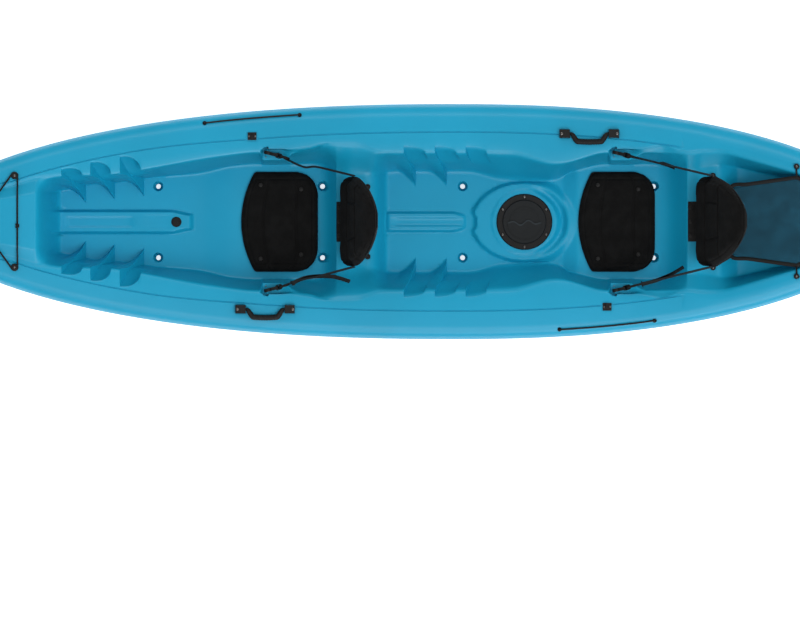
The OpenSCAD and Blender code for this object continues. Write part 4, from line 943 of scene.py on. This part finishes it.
class KAYAK_OT_seat_pads(bpy.types.Operator):
    """Seat pads: filled fabric cushions with sewn channels, snap dimples and piping"""
    bl_idname = "kayak.seat_pads"
    bl_label = "Seat pads"

    def execute(self, context):
        sizes = context.scene.kayak_seat
        across, low, rows = shell_rows(np.linspace(-1, 1, 61), np.linspace(-1, 1, 57))
        for name, (seat_x, pan) in SEATS.items():

            def place(i, j):
                j = j % len(across)
                u, v = rows[i], across[j]
                x, y = pad_xy(OVER_SIZE * u, OVER_SIZE * v)
                high = PAD_THICK * plump(u) * plump(v) - PAD_DISH * (1 - u * u) * (1 - v * v) - PAD_ROOM
                z = np.where(low[j], PAD_LOW, high)
                z = np.where((i == 0) | (i == len(rows) - 1), PAD_EDGE, z)
                return np.stack([seat_x + x, y, pan + z], 1)

            pad = Shape().grid(len(rows) - 1, len(across), place).finish(
                name + "_pad_cushion", "seat_fabric", stands_for=(name + "_seat_pad",))
            inflate(pad, sizes.voxel, sizes.pad_swell, np.array([0.0, 0.0, 1.0]))
            co = points_of(pad) / MM
            x, y = co[:, 0] - seat_x, co[:, 1]
            u, v = pad_uv(x, y)
            top = rise(6, 14, co[:, 2] - pan)
            seam = bell((np.abs(u) - 0.43) * 120 / 3.2) * (np.abs(v) < 0.96)
            frame_line = bell((np.maximum(np.abs(u), np.abs(v)) - 0.86) * 150 / 3.0) * 0.6
            drop = sizes.channel / MM * np.maximum(seam, frame_line) * top
            crease = 0.9 * np.sin(x / 9 + 2.2 * np.sin(y / 31)) * bell((np.abs(v) - 0.62) / 0.22) * top
            co[:, 2] -= drop + crease * 0.5 + 0.5
            for px, py in SNAPS:
                near = np.hypot(x - px, np.abs(y) - py)
                limit = pan + SNAP_TOP + np.maximum(0, near - 8) * 0.5
                co[:, 2] = np.where(near < 18, np.minimum(co[:, 2], limit), co[:, 2])
            co[:, 2] = np.maximum(co[:, 2], pan + 0.4)
            put_points(pad, co * MM)
            smooth(pad, 180)
            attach(pad, "hull")
            rim = pad_rim(2.0)
            path = np.column_stack([rim[:, 0] + seat_x, rim[:, 1], np.full(len(rim), pan + 8.0)])
            piping = Shape().sweep(path, circle(sizes.piping / MM, 8), closed=True)
            piping.finish(name + "_pad_piping", "webbing", "hull", slot="seat_fabric")
        return {"FINISHED"}


def back_half(v):
    taper = np.sqrt(np.maximum(0, 1 - (np.maximum(0, v - 0.3) / 0.72) ** 1.6))
    return BACK_WIDTH / 2 * (1 - 0.1 * (1 - v) ** 3) * taper


def back_bend(seat, v):
    return (34 if seat == "front" else 52) * np.maximum(0, v - 0.3) ** 1.8


def back_at(seat, u, v, w, inset=0.0):
    return np.stack(np.broadcast_arrays(back_bend(seat, v) + w, u * (back_half(v) - inset),
                                        BACK_FOOT + v * (BACK_HEIGHT - BACK_FOOT - inset)), -1)


def hinge_of(seat):
    """The hinge's place, and the cosine and sine of the backrest's lean."""
    at, lean = HINGES[seat]
    return at, math.cos(math.radians(lean)), math.sin(math.radians(lean))


def leaned(seat, p):
    """Points of an upright backrest, carried to its hinge and leaned."""
    at, c, s = hinge_of(seat)
    p = np.asarray(p, float)
    return np.stack([at[0] + p[..., 0] * c + p[..., 2] * s, at[1] + p[..., 1],
                     at[2] + p[..., 2] * c - p[..., 0] * s], -1)


def upright(seat, p):
    """The way back from a leaned backrest to an upright one."""
    at, c, s = hinge_of(seat)
    x, z = p[:, 0] - at[0], p[:, 2] - at[2]
    return np.stack([x * c - z * s, p[:, 1], x * s + z * c], 1)


class KAYAK_OT_backrests(bpy.types.Operator):
    """Backrests: a filled cushion with sewn channels, its board, piping and the hinge flap"""
    bl_idname = "kayak.backrests"
    bl_label = "Backrests"

    def execute(self, context):
        sizes = context.scene.kayak_seat
        across, rear, rows = shell_rows(np.linspace(-1, 1, 49), np.linspace(0, 1, 53))
        for seat in HINGES:
            body = seat + "_backrest"

            def place(i, j):
                j = j % len(across)
                u, v = across[j], rows[i]
                full = plump(u, 16)
                deep = BACK_THICK * full * (1 - 0.5 * v ** 10) * np.minimum(1, 0.1 + v * 4.2) - BACK_ROOM
                deep = np.maximum(4, deep + 14 * bell((v - 0.2) / 0.1) * full)
                w = np.where(rear[j], BACK_REAR, -deep)
                w = np.where((i == 0) | (i == len(rows) - 1), BACK_EDGE, w)
                return leaned(seat, back_at(seat, OVER_SIZE * u, 0.01 + 0.99 * v, w))

            cushion = Shape().grid(len(rows) - 1, len(across), place).finish(
                seat + "_back_padding", "seat_fabric", stands_for=(seat + "_back_cushion",))
            ahead = leaned(seat, (-1.0, 0.0, 0.0)) - leaned(seat, (0.0, 0.0, 0.0))
            inflate(cushion, sizes.voxel, sizes.back_swell, ahead)
            co = upright(seat, points_of(cushion) / MM)
            v = np.clip((co[:, 2] - BACK_FOOT) / (BACK_HEIGHT - BACK_FOOT), 0, 1)
            u = np.clip(co[:, 1] / back_half(v), -1, 1)
            bend = back_bend(seat, v)
            front = rise(-6, -16, co[:, 0] - bend)
            cross = np.maximum(*(bell((v - seam) * SEAM_TALL / 3.5) for seam in BACK_SEAMS))
            cross = cross * (np.abs(u) < 0.92)
            down = bell((np.abs(u) - SIDE_SEAM) * SEAM_WIDE / 3.5)
            down = down * rise(0.34, 0.37, v) * (1 - rise(0.63, 0.66, v))
            edge = 0.5 * bell((np.abs(u) - RIM_SEAM) * SEAM_WIDE / 3.0)
            co[:, 0] += sizes.channel / MM * 1.3 * np.maximum(np.maximum(cross, down), edge) * front
            creases = 0.8 * np.sin(co[:, 1] / 11 + 1.7 * np.sin(co[:, 2] / 37))
            co[:, 0] += creases * np.maximum(0, 1 - cross) * front
            co[:, 0] = np.clip(co[:, 0], bend - 7 - 255 * np.maximum(0, v - 0.02), bend - 0.2)
            co[:, 2] = np.maximum(co[:, 2], BACK_FOOT + 0.2)
            put_points(cushion, leaned(seat, co) * MM)
            smooth(cushion, 180)
            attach(cushion, body)

            ahead_of, middle, behind = BACK_BOARD
            bu, bv = np.linspace(-1, 1, 33), np.linspace(0, 1, 41)
            wide = np.concatenate([bu, bu[::-1]])
            depth = np.repeat([ahead_of, behind], len(bu))
            tall = np.concatenate([[0, 0], bv, [1, 1]])
            fold = np.concatenate([[0.0, 0.7], np.ones(len(bv)), [0.7, 0.0]])

            def board_at(i, j):
                j = j % len(wide)
                w = middle + (depth[j] - middle) * fold[i]
                return leaned(seat, back_at(seat, wide[j], tall[i], w, BOARD_IN))

            Shape().grid(len(tall) - 1, len(wide), board_at).finish(
                seat + "_back_shell", "black_plastic", body, (seat + "_back_board",))
            side = 0.985
            v = np.concatenate([np.linspace(0.03, 1, 60), np.full(20, 1.0), np.linspace(1, 0.03, 60)])
            u = np.concatenate([np.full(60, side), np.linspace(side, -side, 20), np.full(60, -side)])
            path = leaned(seat, back_at(seat, u, v, -7.0, 1.5))
            for _ in range(4):
                path[1:-1] = (path[:-2] + 2 * path[1:-1] + path[2:]) / 4
            Shape().sweep(path, circle(sizes.piping / MM, 8), up=(1, 0.01, 0.02)).finish(
                seat + "_back_piping", "webbing", body, slot="seat_fabric")

            at = np.array(HINGES[seat][0])
            a = np.radians(np.linspace(-125, 205, 26))
            strip = np.concatenate([FLAP_LINE, FLAP_ROLL * np.stack([np.cos(a), np.sin(a)], 1)])
            flap = np.column_stack([at[0] + strip[:, 0], np.full(len(strip), at[1]), at[2] + strip[:, 1]])
            shape = Shape().sweep(flap, flat_band(FLAP_WIDE, FLAP_THICK), up=(0, 1, 0))
            hem = [at + (0, y, 0) for y in np.linspace(-HEM_HALF, HEM_HALF, 41)]
            shape.sweep(hem, circle(HEM, 14), scale=1 + 0.12 * np.cos(np.linspace(0, 40, 41)) ** 2)
            shape.finish(seat + "_hinge_flap", "webbing", "hull", (seat + "_back_hinge",))
        return {"FINISHED"}


# Webbing and cords

FRONT_TAIL = ((-404, 220, 314), (-364, 203, 312), (-310, 197, 306), (-256, 200, 300), (-202, 216, 296))
REAR_TAIL = ((850, 226, 322), (900, 212, 326), (950, 192, 328), (998, 164, 330))
SHORT_TAIL = ((930, 206, 332), (966, 193, 326))
# seat, side, bow of the webbing, loose tail, and where on the webbing the tail starts
STRAPS = {"front_strap_port": ("front", -1, 4, FRONT_TAIL, 2),
          "front_strap_starboard": ("front", 1, 16, (), 2),
          "rear_strap_port": ("rear", -1, 0, REAR_TAIL, 3),
          "rear_strap_starboard": ("rear", 1, 0, SHORT_TAIL, 5)}
# height of a hook's ring over the foot of its eye, length of a hook, and where a strap meets its backrest
HOOK_UP, HOOK_LONG, STRAP_AHEAD, STRAP_HIGH, STRAP_SHARE = 19, 55, -14.0, 148.0, 0.38


def unit(v):
    return v / np.linalg.norm(v)


class KAYAK_OT_webbing(bpy.types.Operator):
    """Seat straps: flat webbing from each hook to the side of a backrest, with its loop and loose tail"""
    bl_idname = "kayak.webbing"
    bl_label = "Seat webbing"

    def execute(self, context):
        sizes = context.scene.kayak_seat
        width, thick = sizes.strap / MM, sizes.strap_thick / MM
        for node, (seat, s, bow, tail, start) in STRAPS.items():
            x, y, z, _ = EYES[(0 if seat == "front" else 2) + (s > 0)]
            eye = np.array([x, y, z + HOOK_UP])
            out = back_half(STRAP_SHARE) + thick / 2 + 0.2
            end = leaned(seat, (STRAP_AHEAD, s * out, STRAP_HIGH))
            d = unit(end - eye)
            v = unit(np.array([0, 0, 1]) - d * d[2])
            n = np.cross(d, v)
            first = eye + HOOK_LONG * d
            way = through([first, first + (end - first) * 0.3 + (0, -s * bow, 0),
                           (first + end) / 2 + (0, -s * bow * 0.2, -4), end], 16)
            shape = Shape().sweep(way, flat_band(width, thick), up=(0, -0.2 * s, 1))
            y = 6 + thick / 2 + 0.5
            half = [(52, 1.4), (46, y), (36, y), (32.6, 0.6 * y)]
            loop = [eye + (5 + a) * d + b * n for a, b in half + [(a, -b) for a, b in half[::-1]]]
            shape.sweep(through(loop, 5, True), flat_band(width, thick), up=v, closed=True)
            sewn = [first + d * t for t in np.linspace(-7, 30, 12)]
            taper = np.interp(np.arange(len(sewn)), [0, 2, 8, 11], [0.8, 1, 1, 0.6])
            shape.sweep(sewn, flat_band(width, 9.0), up=v, scale=taper)
            if tail:
                path = through([way[4 * start]] + [(a, s * b, c) for a, b, c in tail], 10)
                shape.sweep(path, flat_band(width * 0.8, thick), up=(0, -0.6 * s, 1),
                            scale=np.interp(np.arange(len(path)), [0, 8], [0.3, 1]))
            strap = shape.finish(node + "_band", "webbing", None, (node,))
            first * MM
            end * MM
            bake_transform(strap)
        return {"FINISHED"}


# top and foot of the starboard stay behind each backrest
STAYS = {"front": ((-153.48, 96.0, 379.18), (-138.0, 126.0, 198.6)),
         "rear": ((1135.1, 96.0, 436.56), (1102.0, 118.0, 263.6))}


class KAYAK_OT_stays(bpy.types.Operator):
    """Thin elastic stays behind the backrests"""
    bl_idname = "kayak.stays"
    bl_label = "Backrest stays"

    def execute(self, context):
        r = context.scene.kayak_deck.stay / MM
        for seat, (top, foot) in STAYS.items():
            shape = Shape()
            for s in (-1, 1):
                a, b = np.array(top) * (1, s, 1), np.array(foot) * (1, s, 1)
                path = [b + (a - b) * t for t in np.linspace(0, 1, 30)]
                shape.sweep(path, circle(r, 8), up=(0, 1, 0.1))
                shape.sweep([a + (0, y, 0) for y in np.linspace(-7, 7, 7)], circle(r, 8))
            stays = shape.finish(seat + "_stay_cords", "shock_cord", None, (seat + "_stays",))
            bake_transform(stays)
        return {"FINISHED"}


# routes of the deck cords, in millimetres, as the frame has them
BOW_HALF = ((-1397.4, 0, 335.54), (-1397.4, 30, 335.54), (-1397.4, 60, 335.54), (-1397.4, 90, 335.54),
            (-1397.4, 102, 335.54), (-1397.4, 114, 334.83), (-1397.4, 128, 321.51), (-1397.4, 165, 316.8),
            (-1398.72, 170.13, 316.8), (-1402.36, 173.98, 316.8), (-1407.41, 175.58, 316.8),
            (-1412.6, 174.55, 316.8), (-1416.65, 171.13, 316.8), (-1433.36, 147.56, 319.71),
            (-1450.08, 123.99, 322.62), (-1466.79, 100.42, 331.98), (-1483.5, 76.85, 334.73),
            (-1500.22, 53.27, 334.42), (-1516.93, 29.7, 334.27), (-1533.65, 6.13, 337.18),
            (-1535.1, 3.22, 337.18), (-1535.6, 0, 337.18))
KNOT = (-1397.4, -16.0, 340.34)
KEEPERS = {"keeper_cord_starboard": ((-725, 354.8, 273.63), (-725, 354.8, 279.63), (-720, 354.8, 285.63),
                                     (-668, 361.05, 286.05), (-611, 366.7, 284.88), (-554, 371.79, 283.79),
                                     (-497, 376.35, 282.78), (-440, 380.4, 281.86), (-388, 383.97, 279.74),
                                     (-383, 383.97, 273.74), (-383, 383.97, 267.74)),
           "keeper_cord_port": ((553, -389.02, 263.86), (553, -389.02, 269.86), (558, -389.02, 275.86),
                                (610, -385.55, 277.4), (667, -381.4, 277.47), (724, -376.54, 277.54),
                                (781, -370.91, 277.62), (838, -364.48, 278.38), (890, -357.2, 280.07),
                                (895, -357.2, 274.07), (895, -357.2, 268.07))}


class KAYAK_OT_deck_cords(bpy.types.Operator):
    """Elastic deck lines: the bow triangle with its knot, and the two paddle keepers"""
    bl_idname = "kayak.deck_cords"
    bl_label = "Deck cords"

    def execute(self, context):
        deck = context.scene.kayak_deck
        ring = circle(deck.cord / MM, deck.sides)
        half = np.array(BOW_HALF, float)
        loop = np.concatenate([half, half[-2:0:-1] * (1, -1, 1)])
        shape = Shape().sweep(through(loop, 3, True), ring, up=(0.02, 0.01, 1), closed=True)
        knot = [np.array(KNOT) + (4.6 * math.cos(2 * t), 5.2 * math.sin(3 * t), 3.0 * math.cos(t) - 1)
                for t in np.linspace(0, 2 * math.pi, 48, endpoint=False)]
        shape.sweep(knot, circle(deck.cord / MM * 0.9, deck.sides), up=(0.1, 0.05, 1), closed=True)
        shape.finish("bow_line", "shock_cord", "hull", ("bow_cord",))
        for node, route in KEEPERS.items():
            keeper = Shape().sweep(through(route, 5), ring, up=(0.3, 1, 0.1))
            keeper.finish(node + "_line", "shock_cord", "hull", (node,))
        return {"FINISHED"}


COVER_X, COVER_LENGTH, COVER_MID, COVER_HALF, EDGE_CORD = 1172.0, 410.0, 1404.06, 148.0, 4.2
# the cloth: where it starts and how long it is, as shares of the cover's length, and its slack and thickness
CLOTH_START, CLOTH_LONG, CLOTH_SLACK, CLOTH_THICK = 0.012, 0.976, 1.03, 0.0012
CLOTH_INSET = EDGE_CORD + 0.3


def cover_at(u, v, inset=0.0):
    x = COVER_X + u * COVER_LENGTH
    ends = [COVER_X, COVER_MID, COVER_X + COVER_LENGTH]
    y = v * (np.interp(x, ends, [COVER_HALF - 22, COVER_HALF + 10, COVER_HALF - 62]) - inset)
    z = sheer(x) - np.interp(x, ends, [31, 7, 11]) - 10 * np.sin(np.pi * u) * (1 - v * v)
    return np.stack(np.broadcast_arrays(x, y, z), -1)


class KAYAK_OT_cover(bpy.types.Operator):
    """Mesh cover of the stern well, in its edge cord, with a branch to each anchor"""
    bl_idname = "kayak.cover"
    bl_label = "Stern cover"

    def execute(self, context):
        deck = context.scene.kayak_deck
        nu, nv = 44, 36

        def place(i, j):
            return cover_at(CLOTH_START + CLOTH_LONG * i / nu, 2 * j / nv - 1, CLOTH_INSET)

        cloth = Shape().grid(nu, nv, place).finish("stern_cover_mesh", "mesh_cloth", "hull", ("tank_cover",))
        if cloth.data.polygons[0].normal.z < 0:
            cloth.data.flip_normals()
        body = cloth.modifiers.new("thickness", "SOLIDIFY")
        body.thickness, body.offset = CLOTH_THICK, 0
        u = np.linspace(CLOTH_START, CLOTH_START + CLOTH_LONG, 200)
        span = 2 * np.abs(cover_at(u, 1.0, CLOTH_INSET)[:, 1]) * MM
        steps = np.array([0, 0.14, 0.28, 0.42, 0.54, 0.566, 0.6, 0.66, 0.78, 0.9, 1])
        edge = np.concatenate([cover_at(steps, 1.0), [cover_at(1.012, v) for v in (0.5, 0, -0.5)],
                               cover_at(steps[::-1], -1.0), [cover_at(-0.012, v) for v in (-0.5, 0, 0.5)]])
        shape = Shape().sweep(through(edge, 6, True), circle(EDGE_CORD, deck.sides) * (1.7, 1.0),
                              up=(0.02, 0.01, 1), closed=True)
        for p in ANCHORS:
            q = cover_at(max(0.0, (p[0] - COVER_X) / COVER_LENGTH), 1.0 if p[1] > 0 else -1.0)
            r = unit(np.array([q[0] - p[0], q[1] - p[1], 0]))
            e = np.array(p) + (0, 0, 8)
            path = through([q, (q + e) / 2 + (0, 0, 6), e + 14 * r, e + 5.4 * r], 6)
            shape.sweep(path, circle(deck.cord / MM, deck.sides), up=(0.02, 0.01, 1))
        shape.finish("stern_cover_line", "shock_cord", "hull", ("cover_cord",))
        return {"FINISHED"}


# Hard fittings

class KAYAK_OT_handles(bpy.types.Operator):
    """Carry handles: pins, arms and a ribbed grip in one moulding"""
    bl_idname = "kayak.handles"
    bl_label = "Carry handles"

    def execute(self, context):
        grip = context.scene.kayak_deck.grip / MM
        for node, (at, up, turn, span) in HANDLES.items():
            e = span / 2 - PIN_LONG
            c, s = math.cos(math.radians(turn)), math.sin(math.radians(turn))
            x = np.linspace(e + PIN_LONG, -e - PIN_LONG, BAR_STEPS)
            reach = HANDLE_REACH * rise(e - 1, e - 27, np.abs(x)) * (1 - 0.16 * (x / e) ** 2)
            size = np.interp(np.abs(x), [e - 32, e - 26, e - 10, e - 3, e + 2],
                             [grip, grip * 0.98, 8.8, 6.2, 3.95])
            size = size - 0.7 * ((np.abs(x) < e - 34) & (np.sin(x * 2 * np.pi / 9) > 0.5))
            path = np.column_stack([at[0] + x * c + reach * s, at[1] + x * s - reach * c,
                                    np.full(BAR_STEPS, at[2] + up)])
            bar = Shape().sweep(path, circle(1, 16), scale=size)
            body = node.replace("_handle", "_carry_handle")
            bar.finish(node + "_grip", "grip_rubber", body, (node,), angle=50)
        return {"FINISHED"}


WELD, SHARP = 0.00002, 35


def dress(node, material, bevel=0.0, segments=2):
    """Gives a CAD node its finish and rounds its edges, with its mesh left as it is."""
    piece = NODES[node]
    if not piece.material_slots:
        piece.data.materials.append(None)
    for held in piece.material_slots:
        held.material = finishes()[material]
    weld = piece.modifiers.new("weld", "WELD")
    weld.merge_threshold = WELD
    if bevel:
        edge = piece.modifiers.new("edges", "BEVEL")
        edge.width, edge.segments, edge.limit_method = bevel, segments, "ANGLE"
        edge.angle_limit, edge.use_clamp_overlap = math.radians(SHARP), True


class KAYAK_OT_hatch(bpy.types.Operator):
    """Screw hatch and drain: finishes and rounded edges of their rings, lid, plug and seals"""
    bl_idname = "kayak.hatch"
    bl_label = "Hatch and drain"

    def execute(self, context):
        dress("hatch_lid", "lid_plastic", 0.0012)
        dress("hatch_ring", "black_plastic", 0.0008)
        dress("hatch_cup", "black_plastic")
        dress("hatch_gasket", "seal_rubber", 0.0008)
        dress("hatch_screws", "dull_steel")
        dress("drain_plug", "black_plastic", 0.0008)
        dress("drain_socket", "black_plastic", 0.0004)
        dress("drain_gasket", "seal_rubber", 0.0004)
        return {"FINISHED"}


class KAYAK_OT_fittings(bpy.types.Operator):
    """Brackets, hooks, gates, eyes, buttons, anchors and their screws"""
    bl_idname = "kayak.fittings"
    bl_label = "Deck fittings"

    def execute(self, context):
        dress("handle_brackets", "black_plastic", 0.004, segments=3)
        dress("strap_eyes", "hull_plastic", 0.0008)
        for node in ("keeper_hooks", "cover_anchors", "bow_buttons", "stay_eyes", "keeper_eyelets"):
            dress(node, "black_plastic", 0.0008)
        for seat in ("front", "rear"):
            dress(seat + "_pad_snaps", "black_plastic", 0.0004)
            dress(seat + "_hinge_bolts", "black_plastic", 0.0005)
            for side in ("port", "starboard"):
                dress(f"{seat}_hook_{side}", "black_plastic", 0.0014)
                dress(f"{seat}_gate_{side}", "steel", 0.0006)
        for node in ("strap_eye_screws", "bracket_screws", "keeper_screws", "button_rivets", "anchor_screws"):
            dress(node, "dull_steel", 0.0003)
        return {"FINISHED"}


# the picture: its width in pixels, metres in a pixel on the deck, and the camera over its middle
PICTURE_WIDE, PIXEL, SENSOR = 800, 0.0036, 36.0
CAMERA, DECK_LEVEL, FARTHEST = (-0.0216, -0.3546, 40.0), 0.28, 200.0
# suns: name, lean, swing, power and softness. Those named sheen show only as gloss.
SUNS = (("key", 26, 48, 1.4, 40), ("fill", -42, -30, 0.1, 80), ("sheen", 62, 12, 3.0, 25),
        ("sheen_port", 33, 0, 1.4, 16), ("sheen_starboard", -33, 0, 1.2, 16))
SKY, FLOOR_GLOW, FLOOR_HALF, FLOOR_LEVEL = 0.77, 0.75, 60, -0.0015


class KAYAK_OT_stage(bpy.types.Operator):
    """Camera over the deck, a pale floor and soft studio light"""
    bl_idname = "kayak.stage"
    bl_label = "Stage"

    def execute(self, context):
        scene = context.scene
        lens = bpy.data.cameras.new("camera")
        lens.sensor_width, lens.clip_end = SENSOR, FARTHEST
        lens.lens = SENSOR * (CAMERA[2] - DECK_LEVEL) / (PICTURE_WIDE * PIXEL)
        camera = bpy.data.objects.new("camera", lens)
        camera.location = CAMERA
        scene.collection.objects.link(camera)
        scene.camera = camera

        for name, lean, swing, power, soft in SUNS:
            lamp = bpy.data.lights.new(name, "SUN")
            lamp.energy, lamp.angle = power, math.radians(soft)
            light = bpy.data.objects.new(name, lamp)
            light.rotation_euler = (math.radians(lean), 0, math.radians(swing))
            light.visible_diffuse = not name.startswith("sheen")
            scene.collection.objects.link(light)

        sky = bpy.data.worlds.new("studio")
        sky.use_nodes = True
        background = sky.node_tree.nodes["Background"]
        background.inputs["Color"].default_value = (1, 1, 1, 1)
        background.inputs["Strength"].default_value = SKY
        scene.world = sky

        bm = bmesh.new()
        bmesh.ops.create_grid(bm, x_segments=8, y_segments=8, size=FLOOR_HALF)
        bmesh.ops.translate(bm, vec=(0, 0, FLOOR_LEVEL), verts=bm.verts)
        mesh = bpy.data.meshes.new("floor")
        bm.to_mesh(mesh)
        bm.free()
        floor = bpy.data.objects.new("floor", mesh)
        scene.collection.objects.link(floor)
        f = Finish("pale_floor", Emission_Strength=FLOOR_GLOW, Emission_Color=(1, 1, 1, 1))
        tone = f.noise(f.place(), 0.6, 2)
        mesh.materials.append(f.feed(Base_Color=f.mix(tone, (0.86, 0.86, 0.86), (0.9, 0.9, 0.9)),
                                     Roughness=tone * 0.1 + 0.75))
        scene.view_settings.view_transform = "Standard"
        scene.view_settings.look = "None"
        return {"FINISHED"}


OPERATORS = (KAYAK_OT_stage, KAYAK_OT_deck_cords, KAYAK_OT_hull, KAYAK_OT_seat_pads, KAYAK_OT_backrests,
             KAYAK_OT_webbing, KAYAK_OT_stays, KAYAK_OT_cover, KAYAK_OT_hatch, KAYAK_OT_handles,
             KAYAK_OT_fittings)


class KAYAK_PT_sidebar(bpy.types.Panel):
    """Sizes and build steps of the kayak"""
    bl_idname = "KAYAK_PT_sidebar"
    bl_label = "Tandem kayak"
    bl_space_type = "VIEW_3D"
    bl_region_type = "UI"
    bl_category = "Kayak"

    def draw(self, context):
        for group in (context.scene.kayak_hull, context.scene.kayak_seat, context.scene.kayak_deck):
            box = self.layout.box()
            for key in group.__annotations__:
                box.prop(group, key)
        for step in OPERATORS:
            self.layout.operator(step.bl_idname)


CLASSES = (KayakHullSizes, KayakSeatSizes, KayakDeckSizes, *OPERATORS, KAYAK_PT_sidebar)
GROUPS = {"kayak_hull": KayakHullSizes, "kayak_seat": KayakSeatSizes, "kayak_deck": KayakDeckSizes}


def register():
    for item in CLASSES:
        bpy.utils.register_class(item)
    for key, group in GROUPS.items():
        setattr(bpy.types.Scene, key, PointerProperty(type=group))


def unregister():
    for key in GROUPS:
        delattr(bpy.types.Scene, key)
    for item in reversed(CLASSES):
        bpy.utils.unregister_class(item)


def main():
    register()
    for step in OPERATORS:
        group, name = step.bl_idname.split(".")
        if getattr(getattr(bpy.ops, group), name)() != {"FINISHED"}:
            raise RuntimeError(step.bl_label + " did not finish")


if __name__ == "__main__":
    main()
